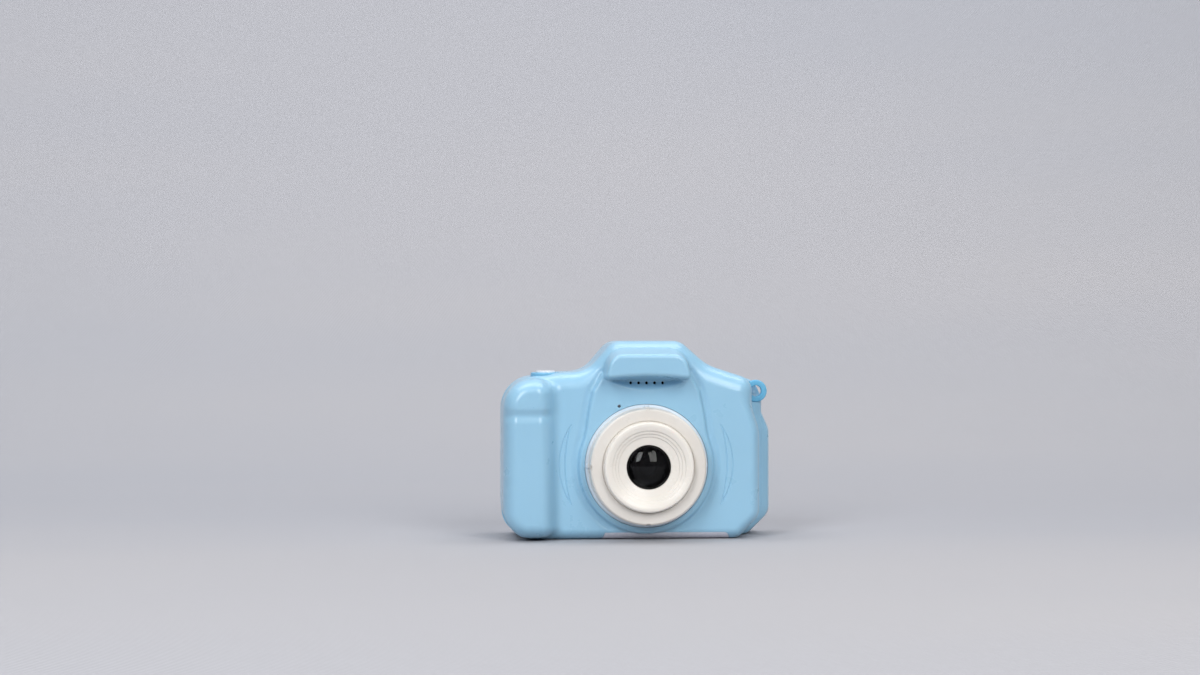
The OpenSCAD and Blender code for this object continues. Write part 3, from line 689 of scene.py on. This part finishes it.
BLUE = srgb(150, 195, 221)
case_plastic = plastic("case_blue", BLUE, rough=0.31, grain=0.16, spread=0.015, subsurface=0.12,
                       coat=0.3, sheen_dust=0.0)
trim_plastic = plastic("trim_blue", srgb(105, 178, 214), rough=0.33, grain=0.15, subsurface=0.25)
ring_blue = plastic("ring_blue", srgb(120, 180, 214), rough=0.3, grain=0.1)
button_white = plastic("button_white", srgb(216, 222, 228), rough=0.16, grain=0.05, coat=0.4,
                       spread=0.01)
key_white = plastic("key_white", srgb(224, 224, 220), rough=0.3, grain=0.14, spread=0.012,
                    subsurface=0.1)
icon_grey = plastic("icon_grey", srgb(120, 128, 138), rough=0.45, grain=0.2)
disc_white = plastic("disc_white", srgb(232, 227, 219), rough=0.3, grain=0.1, spread=0.008,
                     subsurface=0.1)
black_gloss = plastic("lens_black", (0.003, 0.0022, 0.0022, 1), rough=0.22, grain=0.08,
                      sheen_dust=0.0, specular=0.2)
matt_black = plastic("matt_black", (0.006, 0.006, 0.007, 1), rough=0.6, grain=0.4,
                     sheen_dust=0.002, specular=0.08)
board_green = plastic("board_green", (0.02, 0.11, 0.05, 1), rough=0.35, grain=0.2, spread=0.15)
flex_amber = plastic("flex_amber", (0.42, 0.16, 0.03, 1), rough=0.35, grain=0.15, spread=0.1)
foil = metal("battery_foil", (0.75, 0.76, 0.78, 1), 0.28, brushed=False)
steel = metal("steel", (0.62, 0.63, 0.65, 1), 0.3)
dark_steel = metal("dark_steel", (0.3, 0.3, 0.32, 1), 0.35)
red_wire = plastic("red_wire", (0.5, 0.02, 0.02, 1), rough=0.4, grain=0.1)
black_wire = plastic("black_wire", (0.02, 0.02, 0.02, 1), rough=0.4, grain=0.1)
tape_foam = plastic("tape_foam", (0.03, 0.03, 0.035, 1), rough=0.85, grain=0.6)


def barrel_material():
    """Cream plastic whose thinner flange is painted bluish: a painted reflection of the blue case,
    also standing in for blue light seen through the thin flange.
    """
    n = Nodes("barrel_white")
    b = n.bsdf
    split = n.add("ShaderNodeSeparateXYZ")
    n.link(n.coord, split.inputs[0])
    dx = n.math("SUBTRACT", split.outputs["X"], LENS_X * MM)
    dz = n.math("SUBTRACT", split.outputs["Z"], LENS_Z * MM)
    r = n.math("SQRT", n.math("ADD", n.math("MULTIPLY", dx, dx), n.math("MULTIPLY", dz, dz)))
    # Painted reflection: the flange band is coloured bluish for the blue case mirrored in it and
    # seen through it.
    blue_reflection_band = n.ramp(r, 0, 1, FLANGE_FROM * MM, FLANGE_TO * MM)
    col = n.blend(n.ramp(n.noise(60, 3), 0, 1), srgb(217, 212, 205), srgb(224, 220, 214))
    col = n.blend(blue_reflection_band, col, srgb(206, 220, 232))
    n.link(col, b.inputs["Base Color"])
    n.link(n.ramp(n.noise(200, 3), 0.26, 0.36), b.inputs["Roughness"])
    b.inputs["Subsurface Weight"].default_value = 0.15
    b.inputs["Subsurface Radius"].default_value = (1.0, 0.9, 0.8)
    b.inputs["Subsurface Scale"].default_value = 0.0012
    n.bump([(n.noise(4200, 2), 0.08, 0.00003), (n.noise(300, 2), 0.08, 0.00006)])
    return n.material


def glass_material(name, tint):
    """Coated glass: a low index keeps its reflections weak."""
    n = Nodes(name)
    b = n.bsdf
    b.inputs["Base Color"].default_value = tint
    b.inputs["Transmission Weight"].default_value = 1.0
    b.inputs["IOR"].default_value = 1.28
    n.link(n.ramp(n.noise(260, 4), 0.02, 0.05, 0.45, 0.8), b.inputs["Roughness"])
    n.bump([(n.noise(150, 2), 0.02, 0.00004)])
    return n.material


def window_material():
    """Smoked screen window: black printed border round a slightly lighter display."""
    half_w, half_h = 0.0186, 0.0140
    n = Nodes("screen_black")
    b = n.bsdf
    split = n.add("ShaderNodeSeparateXYZ")
    n.link(n.coord, split.inputs[0])
    mid_x = (WINDOW[0][0] + WINDOW[1][0]) / 2 * MM
    mid_z = (WINDOW[0][2] + WINDOW[1][2]) / 2 * MM
    ax = n.math("ABSOLUTE", n.math("SUBTRACT", split.outputs["X"], mid_x))
    az = n.math("ABSOLUTE", n.math("SUBTRACT", split.outputs["Z"], mid_z))
    inner = n.math("MULTIPLY", n.math("LESS_THAN", ax, half_w),
                   n.math("LESS_THAN", az, half_h))
    glow = n.blend(n.ramp(n.noise(50, 2), 0, 1), (0.016, 0.019, 0.024, 1), (0.024, 0.028, 0.034, 1))
    n.link(n.blend(inner, (0.006, 0.006, 0.007, 1), glow), b.inputs["Base Color"])
    n.link(n.ramp(n.noise(240, 5, 0.6), 0.05, 0.13), b.inputs["Roughness"])
    b.inputs["Coat Weight"].default_value = 0.6
    b.inputs["Coat Roughness"].default_value = 0.04
    n.bump([(n.noise(90, 2), 0.03, 0.00003)])
    return n.material


def label_material():
    """Blank pale sticker: faint paper fibre and a silvery sheen."""
    n = Nodes("label_silver")
    b = n.bsdf
    col = n.blend(n.ramp(n.noise(700, 4), 0, 1), srgb(214, 217, 230), srgb(230, 231, 240))
    n.link(col, b.inputs["Base Color"])
    n.link(n.ramp(n.noise(300, 3), 0.3, 0.45), b.inputs["Roughness"])
    n.bump([(n.noise(2600, 3), 0.2, 0.00002)])
    return n.material


def cloth_material():
    """Pale seamless sheet with a fine weave and slow unevenness."""
    thread = 0.0016
    n = Nodes("pale_sheet")
    b = n.bsdf
    split = n.add("ShaderNodeSeparateXYZ")
    n.link(n.coord, split.inputs[0])
    col = n.blend(n.ramp(n.noise(1.6, 3, 0.5, stretch=(0.4, 1.6, 1)), 0, 1),
                  srgb(170, 172, 179), srgb(180, 179, 182))
    n.link(col, b.inputs["Base Color"])
    b.inputs["Roughness"].default_value = 0.9
    b.inputs["Specular IOR Level"].default_value = 0.2
    weave = []
    for axis in ("X", "Y"):
        wave = n.math("SINE", n.math("MULTIPLY", split.outputs[axis], 2 * math.pi / thread))
        weave.append(wave)
    both = n.math("MULTIPLY", weave[0], weave[1])
    n.bump([(both, 0.35, 0.00025), (n.noise(60, 3), 0.25, 0.0006)])
    return n.material


barrel_white = barrel_material()
dome_glass = glass_material("dome_glass", (0.5, 0.5, 0.53, 1))
screen_black = window_material()
label_silver = label_material()

# --- The two halves of the case ---

def closed(faces):
    """True if every edge belongs to exactly two faces."""
    edges = np.sort(np.concatenate([faces[:, [k, (k + 1) % 4]] for k in range(4)]), axis=1)
    _, counts = np.unique(edges, axis=0, return_counts=True)
    return bool((counts == 2).all())


def closed_net(field, low, high, step):
    """A surface net on the first shifted grid that closes it, or on the last one tried."""
    for shift in (0.0, 0.13, 0.27, 0.41, 0.06, 0.19, 0.33):
        start = [v - shift * step for v in low]
        points, faces = surface_net(field, start, high, step)
        if closed(faces):
            break
    return points, faces


GRID, VOID_GRID = 0.5, 0.9
net_points, net_faces = closed_net(
    case_field, (-HALF_W - 1, HOOD_Y - 1, -1), (HALF_W + 1, BACK_Y + 1, BODY_H + 1), GRID)
net_points = project(case_field, net_points)
net_points[:, 2] = np.clip(net_points[:, 2], 0.0, BODY_H)
net_points[:, 0] = np.clip(net_points[:, 0], -HALF_W, HALF_W)
void_points, void_faces = closed_net(
    void_field, (-HALF_W, HOOD_Y, 0), (HALF_W, BACK_Y, BODY_H), VOID_GRID)
void_points = project(void_field, void_points, 3, 0.4)


def half(name, y0, y1, cutters):
    """The part of the case between two depths, hollowed, with its openings cut."""
    obj = outward(make(name, net_points, net_faces))
    big = 60
    if y0 is not None:
        cutters = [box_points((-big, -big, -big), (big, y0, 2 * big))] + cutters
    if y1 is not None:
        cutters = [box_points((-big, y1, -big), (big, big, 2 * big))] + cutters
    cut(obj, [(void_points, void_faces)] + cutters)
    return obj


def vertical(x, y, r, z0, z1, n=64):
    """An upright cylinder."""
    t = np.linspace(0, 2 * math.pi, n, endpoint=False)
    ring = np.stack([x + r * np.cos(t), y + r * np.sin(t)], 1)
    points = np.concatenate([np.column_stack([ring, np.full(n, z)]) for z in (z0, z1)])
    faces = [list(range(n - 1, -1, -1)), list(range(n, 2 * n))]
    faces += [[i, (i + 1) % n, n + (i + 1) % n, n + i] for i in range(n)]
    return points, faces


def crescent_paths(side):
    """Centre lines of the two grooves of a crescent, on the flat face."""
    def reach(r, z):
        return math.sqrt(r * r - z * z) - math.sqrt(r * r - 144)
    lines = []
    for r, start in ((21.2, 22.4), (39.5, 22.5)):
        zs = np.linspace(-12, 12, 41)
        if r > 30:
            zs = zs * 0.985
        lines.append([[LENS_X + side * (start + reach(r, z)), FACE_Y - 0.02, LENS_Z + 0.3 + z]
                      for z in zs])
    return lines


def face_depth(x, z):
    """Depth of the case's surface on the front, by bisection along Y."""
    lo, hi = np.full(len(x), HOOD_Y - 1.0), np.full(len(x), 0.0)
    d = flat_fields(np.asarray(x, float), np.asarray(z, float))
    for _ in range(26):
        mid = (lo + hi) / 2
        outside = case_field(d, mid) > 0
        lo = np.where(outside, mid, lo)
        hi = np.where(outside, hi, mid)
    return hi


def on_face(path):
    """A path laid on the case's front surface."""
    path = np.array(path, float)
    path[:, 1] = face_depth(path[:, 0], path[:, 2])
    return path


SHUTTER = ((BUTTON[0][0] + BUTTON[1][0]) / 2, (BUTTON[0][1] + BUTTON[1][1]) / 2)
SEAT_Z = 48.9
GROOVE_R = 0.22
SPEAKER_Z, SPEAKER_PITCH = 47, 2.4
MIC = (LENS_X - 8.2, LENS_Z + 17.9)

front_cuts = [
    prism(circle(LENS_X, LENS_Z, BARREL_HOLE_R, 180), -30, -6.6),
    prism(circle(*MIC, 0.5, 32), -16, -6),
    vertical(SHUTTER[0], SHUTTER[1], 4.6, SEAT_Z - 0.05, 60),
    vertical(SHUTTER[0], SHUTTER[1], 3.98, 44, 60),
]
for k in range(-2, 3):
    front_cuts.append(prism(circle(LENS_X + 0.2 + SPEAKER_PITCH * k, SPEAKER_Z, 0.45, 32), -16, -6))
for side in (-1, 1):
    for line in crescent_paths(side):
        front_cuts.append(tube(on_face(line), GROOVE_R))


def edge_strip(x0, x1, t0, t1, first, slant=0.0, round_end=0.0, steps=14, across=60):
    """A thin solid wrapped round the lower front edge, between distances t0 and t1 outside it."""
    edge_y, edge_z = EDGE_DEEP, EDGE_WIDTH
    angles = np.radians(np.linspace(first, 90, steps))
    flat = np.linspace(0, 2.5, 4)[1:]
    rows = []
    for t in (t1, t0):
        side = [[FACE_Y + edge_y - (edge_y + t) * math.cos(a), edge_z - (edge_z + t) * math.sin(a)]
                for a in angles]
        side += [[FACE_Y + edge_y + f, -t] for f in flat]
        rows.append(np.array(side))
    m = len(rows[0])
    points = []
    for row in rows:
        for j, (y, z) in enumerate(row):
            v = j / (m - 1)
            start = x0 + slant * (1 - v)
            close = max(0.0, 1 - v / 0.6)
            end = x1 - round_end * (1 - math.sqrt(max(0.0, 1 - close * close)))
            for i in range(across + 1):
                points.append([mix(start, end, i / across), y, z])
    w = across + 1
    size = m * w
    faces = []
    for j in range(m - 1):
        for i in range(across):
            a = j * w + i
            faces.append([a, a + 1, a + w + 1, a + w])
            b = size + a
            faces.append([b, b + w, b + w + 1, b + 1])
    rim = ([i for i in range(w)] + [j * w + w - 1 for j in range(1, m)]
           + [(m - 1) * w + i for i in range(w - 2, -1, -1)]
           + [j * w for j in range(m - 2, 0, -1)])
    for a, b in zip(rim, rim[1:] + rim[:1]):
        faces.append([b, a, size + a, size + b])
    return np.array(points), faces


front_cuts.append(edge_strip(LABEL[0][0] - 0.12, LABEL[1][0] + 0.12, -0.2, 1.0, 21, 1.4, 1.6))



def window_corners(grow):
    """Corners [x, z] of the screen window, moved outwards by grow."""
    (x0, _, z0), (x1, _, z1) = WINDOW
    return [[x0 - grow, z0 - grow], [x1 + grow, z0 - grow], [x1 + grow, z1 + grow],
            [x0 - grow, z1 + grow]]


def window_outline(grow, step):
    return rounded([[x, z, WINDOW_CORNER] for x, z in window_corners(grow)], step)


rear_cuts = [
    prism(window_outline(WINDOW_GAP, 6.0), BACK_Y - 1.25, BACK_Y + 2),
    prism(window_corners(-WINDOW_LEDGE), BACK_Y - 3, BACK_Y + 1),
]
KEYS = ["key_up", "key_down", "key_left", "key_right", "key_ok", "key_menu", "key_play",
        "key_power"]
KEY_R = 2.7
key_at = {}
for key in KEYS:
    low, high = mm_box(key)
    key_at[key] = ((low[0] + high[0]) / 2, (low[2] + high[2]) / 2)
    rear_cuts.append(prism(circle(*key_at[key], KEY_R + 0.12, 64), BACK_Y - 3, BACK_Y + 2))
for sx, sz in SCREWS:
    rear_cuts.append(prism(circle(sx, sz, 2.0, 48), 8, BACK_Y + 2))
    rear_cuts.append(prism(circle(sx, sz, 1.1, 32), 2, 9))
HINGE = (HALF_W - 0.75, 8.2)
rear_cuts += [
    box_points((HALF_W - 1.25, 7.2, COVER[0][2] + 0.9), (HALF_W + 2, 15.2, COVER[1][2] - 0.9)),
    vertical(HINGE[0], HINGE[1], 0.52, COVER[0][2] - 0.1, COVER[1][2] + 0.1, 32),
    vertical(HINGE[0], HINGE[1], 0.88, COVER[0][2] + 0.9, COVER[1][2] - 0.9, 32),
    prism(circle(*STRAP_AT, 3.5, 64), STRAP[0][1] - 0.05, STRAP[1][1] + 0.05),
    prism(circle(*STRAP_AT, 1.8, 48), PART_Y - 1, 9),
    box_points((30, 9.8, 11.2), (HALF_W + 1, 12.8, 19.6)),
    box_points((20, 10.6, 19.1), (HALF_W + 1, 12.7, 31.7)),
]


def ball(x, y, z, r):
    segments, rings = 32, 16
    prof = [[r * math.sin(math.pi * k / rings), -r * math.cos(math.pi * k / rings)]
            for k in range(rings + 1)]
    prof[0][0] = prof[-1][0] = 0
    points, faces = lathe(prof, segments)
    return points + np.array([x, y, z]), faces


rear_cuts.append(ball(HALF_W + 2.2, 15.2, (COVER[0][2] + COVER[1][2]) / 2, 3.2))
rear_cuts.append(ball(STRAP_AT[0] + 0.6, 9, STRAP_AT[1] + 0.3, 2.3))


def finish_shell(obj, node):
    """Smooth shading that follows the true surface on the moulded faces."""
    smooth(obj, 30)
    mesh = obj.data
    n = len(mesh.vertices)
    co = np.zeros(n * 3, np.float32)
    mesh.vertices.foreach_get("co", co)
    co = co.reshape(-1, 3).astype(float) / MM
    f = case_field(flat_fields(co[:, 0], co[:, 2]), co[:, 1])
    exact = normals_at(case_field, co)
    loops = len(mesh.loops)
    vert = np.zeros(loops, np.int32)
    mesh.loops.foreach_get("vertex_index", vert)
    normal = np.zeros(loops * 3, np.float32)
    mesh.corner_normals.foreach_get("vector", normal)
    normal = normal.reshape(-1, 3)
    polys = len(mesh.polygons)
    starts = np.zeros(polys, np.int32)
    totals = np.zeros(polys, np.int32)
    face_normal = np.zeros(polys * 3, np.float32)
    mesh.polygons.foreach_get("loop_start", starts)
    mesh.polygons.foreach_get("loop_total", totals)
    mesh.polygons.foreach_get("normal", face_normal)
    face_of = np.repeat(np.arange(polys), totals)
    fn = face_normal.reshape(-1, 3)[face_of]
    want = exact[vert]
    centre = np.zeros(polys * 3, np.float32)
    mesh.polygons.foreach_get("center", centre)
    centre = centre.reshape(-1, 3).astype(float) / MM
    depth = np.abs(case_field(flat_fields(centre[:, 0], centre[:, 2]), centre[:, 1]))
    agree = (fn * want).sum(1)
    good = (np.abs(f[vert]) < 0.03) & ((agree > 0.86) | ((depth[face_of] < 0.02) & (agree > 0)))
    normal[good] = want[good]
    mesh.normals_split_custom_set(normal.tolist())
    mesh.materials.clear()
    mesh.materials.append(case_plastic)
    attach(obj, "camera")
    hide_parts(node)


finish_shell(half("front_half", None, PART_Y, front_cuts), "front_shell")
finish_shell(half("rear_half", PART_Y + 0.07, None, rear_cuts), "rear_shell")

# --- Lens ---

barrel_profile = fillet(
    [[9, 15], [13.6, 15], [13.6, 17.2], [13.9, 17.5], [16.8, 17.5], [17.3, 17], [17.3, 11],
     [17.7, 10.6], [18.4, 10.5], [18.4, 7.65], [20.6, 7.65], [20.6, 6.15], [15.6, 6.15],
     [15.6, 13.4], [9, 13.4]],
    [0.1, 0.1, 0.1, 0.15, 0.35, 0.35, 0.4, 0.3, 0.2, 0.1, 0.1, 0.1, 0.1, 0.1, 0.1], 20)
barrel_points, barrel_faces = lathe(barrel_profile, 240)
barrel = outward(make("lens_barrel_skin", facing_front(barrel_points, LENS_X, LENS_Z),
                      barrel_faces))
cut(barrel, [box_points((-20, -7.66, -4), (24, -5, 3.9)),
             prism(circle(*MIC, 2.4, 32), -7.66, -5)]
    + [prism(circle(LENS_X + 17.5 * math.cos(math.radians(a)),
                    LENS_Z + 17.5 * math.sin(math.radians(a)), 0.8, 32), -18, -15.9)
       for a in (0, 90, 180, 270)])
nubs = []
for a in (0, 90, 180, 270):
    nx = LENS_X + 17.6 * math.cos(math.radians(a))
    nz = LENS_Z + 17.6 * math.sin(math.radians(a))
    nub = lathe(fillet([[0, 9.7], [0.75, 9.7], [0.75, 11.3], [0, 11.3]], [0, 0.1, 0.3, 0]), 32)
    nubs.append((facing_front(nub[0], nx, nz), nub[1]))
cut(barrel, nubs, "UNION")
smooth(barrel, 35)
barrel.data.materials.clear()
barrel.data.materials.append(barrel_white)
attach(barrel, "camera")
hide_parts("lens_barrel")


def front_turned(name, profile, material, replaces, segments):
    """A piece turned about the lens axis, from [radius, distance before y = 0]."""
    points, faces = lathe(profile, segments)
    return piece(name, [(facing_front(points, LENS_X, LENS_Z), faces)], material, "camera",
                 replaces)


front_turned("front_disc", fillet(
    [[6.6, 17.9], [9.1, 18.3], [9.1, 18.6], [10, 18.8], [10, 19.1], [10.9, 19.3], [10.9, 19.6],
     [12.2, 20], [12.9, 20], [13.3, 19.6], [13.3, 17.55], [13.56, 17.3], [13.56, 15.05],
     [11.8, 15.05], [11.8, 18], [10, 17.3], [8.4, 16.7], [8.4, 15.05], [6.6, 15.05]],
    [0.15, 0.08, 0.08, 0.08, 0.08, 0.08, 0.08, 0.3, 0.25, 0.3, 0.15, 0.05, 0.1, 0.1, 0.1, 0.1,
     0.1, 0.1, 0.1], 22), disc_white, ["lens_disc"], 240)
front_turned("bezel_black", fillet(
    [[6.5, 13.45], [6.5, 17.8], [6.2, 18], [5.9, 17.8], [5.9, 16.4], [4.6, 16.4], [2.6, 14.6],
     [2.6, 13.45]], [0.1, 0.1, 0.15, 0.1, 0.1, 0.15, 0.1, 0.1], 22),
    black_gloss, ["lens_bezel"], 160)
DOME_R, DOME_TOP, DOME_BASE = 10.6, 18.35, 16.45
dome = [[0, DOME_TOP]]
reach_angle = math.asin(5.8 / DOME_R)
for k in range(1, 25):
    a = reach_angle * k / 24
    dome.append([DOME_R * math.sin(a), DOME_TOP - DOME_R * (1 - math.cos(a))])
dome += [[5.84, dome[-1][1] - 0.06], [5.85, DOME_BASE + 0.05], [5.8, DOME_BASE], [0, DOME_BASE]]
front_turned("front_glass", dome, dome_glass, ["front_lens"], 120)

# --- Shutter button and its ring ---


def upright(name, profile, material, replaces, body="camera"):
    """A piece turned about the shutter button's axis."""
    points, faces = lathe(profile, 96)
    points = points + np.array([SHUTTER[0], SHUTTER[1], 0])
    return piece(name, [(points, faces)], material, body, replaces)


upright("shutter_ring", fillet(
    [[3.2, 47.2], [1.65, 47.2], [1.65, 46.2], [3.9, 46.2], [3.9, 48.9], [4.5, 48.9],
     [4.5, 49.75], [4.2, 50.1], [3.45, 50.1], [3.2, 49.85]],
    [0.05, 0.05, 0.05, 0.05, 0.05, 0.1, 0.2, 0.2, 0.15, 0.1], 20),
    ring_blue, ["shutter_bezel"])
cap_top, cap_low = BUTTON[1][2], BUTTON[0][2]
upright("shutter_cap", [[0, cap_top]] + [
    [3.14 * math.sin(a) ** 0.9 if a < 1.5 else 3.14, cap_top - 0.38 * (1 - math.cos(a)) ** 1.15]
    for a in np.linspace(0.15, math.pi / 2, 14)] + [
    [3.14, 48.95], [1.5, 48.95], [1.5, cap_low + 0.1], [1.4, cap_low], [0, cap_low]],
    button_white, ["shutter_button"], body="shutter")

SPRING_LOW, SPRING_HIGH = 47.2, 48.95
SPRING_WIRE = 0.13


def spring_line():
    """Centre line of the return spring: flat end turns and an open coil between them."""
    low, high = SPRING_LOW + SPRING_WIRE + 0.01, SPRING_HIGH - SPRING_WIRE - 0.01
    line = []
    for t in np.linspace(0, 2.5, 121):
        a = 2 * math.pi * t
        line.append([SHUTTER[0] + 2.35 * math.cos(a), SHUTTER[1] + 2.35 * math.sin(a),
                     mix(low, high, smoothstep(0.1, 2.4, t))])
    return line


spring = piece("return_spring", [tube(spring_line(), SPRING_WIRE, 12, (0, 0, 1))], steel, "camera",
               ["shutter_spring"], 60)
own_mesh(spring)

# --- Strap loop, port cover, label ---

strap_profile = fillet([[1.7, STRAP[0][1]], [3.4, STRAP[0][1]], [3.4, STRAP[1][1]],
                        [1.7, STRAP[1][1]]], [0.25, 0.4, 0.4, 0.25], 15)
strap_points, strap_faces = lathe(strap_profile, 128)
piece("strap_ring", [(facing_back(strap_points, *STRAP_AT), strap_faces)], trim_plastic,
      "camera", ["strap_loop"])

cover_low_z, cover_high_z = COVER[0][2] + 1.1, COVER[1][2] - 1.1
cover_plate = prism(rounded([[HALF_W - 1.2, 8.5, 0.1], [HALF_W, 8.5, 0.25], [HALF_W, 15, 0.3],
                             [HALF_W - 1.2, 15, 0.15]], 15), cover_low_z, cover_high_z)
plate_points = cover_plate[0][:, [0, 2, 1]]
cover = outward(make("cover_plate", plate_points, cover_plate[1]))
cut(cover, [vertical(HINGE[0], HINGE[1], 0.7, cover_low_z, cover_high_z, 48),
            vertical(HINGE[0], HINGE[1], 0.45, cover_low_z - 1.1, cover_high_z + 1.1, 32)], "UNION")
smooth(cover, 32)
cover.data.materials.clear()
cover.data.materials.append(case_plastic)
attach(cover, "cover")
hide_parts("port_cover")

piece("blank_label", [edge_strip(LABEL[0][0], LABEL[1][0], -0.17, -0.02, 22, 1.4, 1.6)],
      label_silver, "camera", ["rating_label"])

# --- Keys on the back ---

KEY_BACK = mm_box("key_ok")[1][1]
KEY_STEM = mm_box("key_ok")[0][1]


def icon(kind):
    """Outlines of the key's mark, as [x, z] round its middle."""
    if kind in ("key_up", "key_down", "key_left", "key_right"):
        turn = {"key_up": 90, "key_down": -90, "key_left": 0, "key_right": 180}[kind]
        tri = rounded([[1.0, 0, 0.12], [-0.55, 0.88, 0.12], [-0.55, -0.88, 0.12]], 20)
        c, s = math.cos(math.radians(turn)), math.sin(math.radians(turn))
        return [np.stack([tri[:, 0] * c - tri[:, 1] * s, tri[:, 0] * s + tri[:, 1] * c], 1)]
    if kind == "key_ok":
        return [circle(0, 0, 0.85, 32)]
    if kind == "key_menu":
        return [rounded([[-1.2, z - 0.16, 0.1], [1.2, z - 0.16, 0.1], [1.2, z + 0.16, 0.1],
                         [-1.2, z + 0.16, 0.1]], 30) for z in (-0.8, 0, 0.8)]
    if kind == "key_play":
        return [rounded([[-0.8, -1.0, 0.1], [1.0, 0, 0.1], [-0.8, 1.0, 0.1]], 20)]
    t = np.radians(np.linspace(130, 410, 40))
    ring = np.concatenate([np.stack([1.25 * np.cos(t), 1.25 * np.sin(t)], 1),
                           np.stack([0.95 * np.cos(t[::-1]), 0.95 * np.sin(t[::-1])], 1)])
    bar = np.array([[-0.15, 0.2], [0.15, 0.2], [0.15, 1.45], [-0.15, 1.45]])
    return [ring, bar]


for key in KEYS:
    x, z = key_at[key]
    low, high = mm_box(key)
    inner = BACK_Y - WALL - 0.05
    prof = [[0, KEY_BACK - 0.05]] + [
        [KEY_R - 0.5 + 0.5 * math.sin(a), KEY_BACK - 0.05 - 0.42 * (1 - math.cos(a))]
        for a in np.linspace(0, math.pi / 2, 9)] + [
        [KEY_R, inner], [KEY_R + 0.5, inner], [KEY_R + 0.5, inner - 0.7], [1.2, inner - 0.7],
        [1.2, KEY_STEM], [0, KEY_STEM]]
    points, faces = lathe(prof, 72)
    body_name = key.split("_")[1] + "_key"
    piece(key + "_cap", [(facing_back(points, x, z), faces)], key_white, body_name,
          [key])
    marks = [prism(np.asarray(o) + [x, z], KEY_BACK - 0.16, KEY_BACK - 0.005)
             for o in icon(key)]
    piece(key + "_mark", marks, icon_grey, body_name, ())

piece("screen_glass", [prism(window_outline(0, 5), WINDOW[0][1], WINDOW[1][1])],
      screen_black, "camera", ["screen_window"])

# --- Materials of the pieces that stay as the CAD made them ---

NODE_MATERIALS = {
    "case_screws": steel, "camera_module": matt_black, "camera_flex": flex_amber,
    "lens_retainer": matt_black, "retainer_screws": steel, "shutter_spring": steel,
    "top_board": board_green, "lcd_panel": matt_black, "lcd_tray": steel,
    "lcd_flex": flex_amber, "key_switches": dark_steel, "main_board": board_green,
    "board_screws": steel, "board_chips": matt_black, "usb_socket": steel,
    "card_socket": steel, "battery": foil, "battery_tape": tape_foam,
    "battery_leads": red_wire, "speaker": matt_black, "speaker_leads": black_wire,
    "microphone": steel,
}
for node, material in NODE_MATERIALS.items():
    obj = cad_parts[node]
    for s in obj.material_slots:
        s.material = material

# --- Floor, light and camera ---


def backdrop():
    """A seamless sheet: flat under the camera, curving up far behind it."""
    flat_end, bend = 0.12, 0.9
    profile = [(-0.9, 0.0), (flat_end, 0.0)]
    for a in np.linspace(0, math.pi / 2, 49)[1:]:
        profile.append((flat_end + bend * math.sin(a), bend * (1 - math.cos(a))))
    profile.append((flat_end + bend, 2.2))
    points, faces = [], []
    for y, z in profile:
        points += [[-2500, y * 1000, z * 1000], [2500, y * 1000, z * 1000]]
    for i in range(len(profile) - 1):
        faces.append([2 * i, 2 * i + 1, 2 * i + 3, 2 * i + 2])
    obj = make("backdrop", points, faces)
    obj.data.shade_smooth()
    obj.data.materials.append(cloth_material())


def softbox(name, place, target, size, power, colour):
    """A rectangular area light: metres and watts."""
    data = bpy.data.lights.new(name, "AREA")
    data.shape = "RECTANGLE"
    data.size, data.size_y = size
    data.energy = power
    data.color = colour
    obj = bpy.data.objects.new(name, data)
    obj.location = place
    obj.rotation_euler = (Vector(target) - Vector(place)).to_track_quat("-Z", "Y").to_euler()
    scene.collection.objects.link(obj)


backdrop()
AIM = (0.0, 0.0, 0.03)
softbox("left_box", (-0.50, -0.85, 0.62), AIM, (0.32, 0.7), 6.6, (0.97, 0.98, 1.0))
softbox("right_box", (0.38, -0.95, 0.66), AIM, (0.5, 0.7), 7.2, (1.0, 0.99, 0.97))
softbox("top_box", (0.0, 0.1, 1.3), AIM, (1.4, 1.0), 3.8, (1.0, 1.0, 1.0))
softbox("back_wash", (0.0, 0.2, 1.6), (0.0, 1.0, 0.5), (2.4, 0.8), 20.5, (0.98, 0.98, 1.0))

world = bpy.data.worlds.new("studio")
world.use_nodes = True
world.node_tree.nodes["Background"].inputs["Color"].default_value = (0.93, 0.95, 1.0, 1)
world.node_tree.nodes["Background"].inputs["Strength"].default_value = 0.10
scene.world = world
scene.view_settings.view_transform = "Standard"

YAW = math.radians(4.3)
FOCAL_LENGTH = 65.13
CAMERA_AT = (-0.06084, -0.65687, 0.0606)
camera_data = bpy.data.cameras.new("camera")
camera_data.sensor_width = 36
camera_data.lens = FOCAL_LENGTH
camera_data.clip_end = 20
camera = bpy.data.objects.new("camera", camera_data)
camera.location = CAMERA_AT
look = Vector((math.sin(YAW), math.cos(YAW), 0))
camera.rotation_euler = look.to_track_quat("-Z", "Y").to_euler()
scene.collection.objects.link(camera)
scene.camera = camera
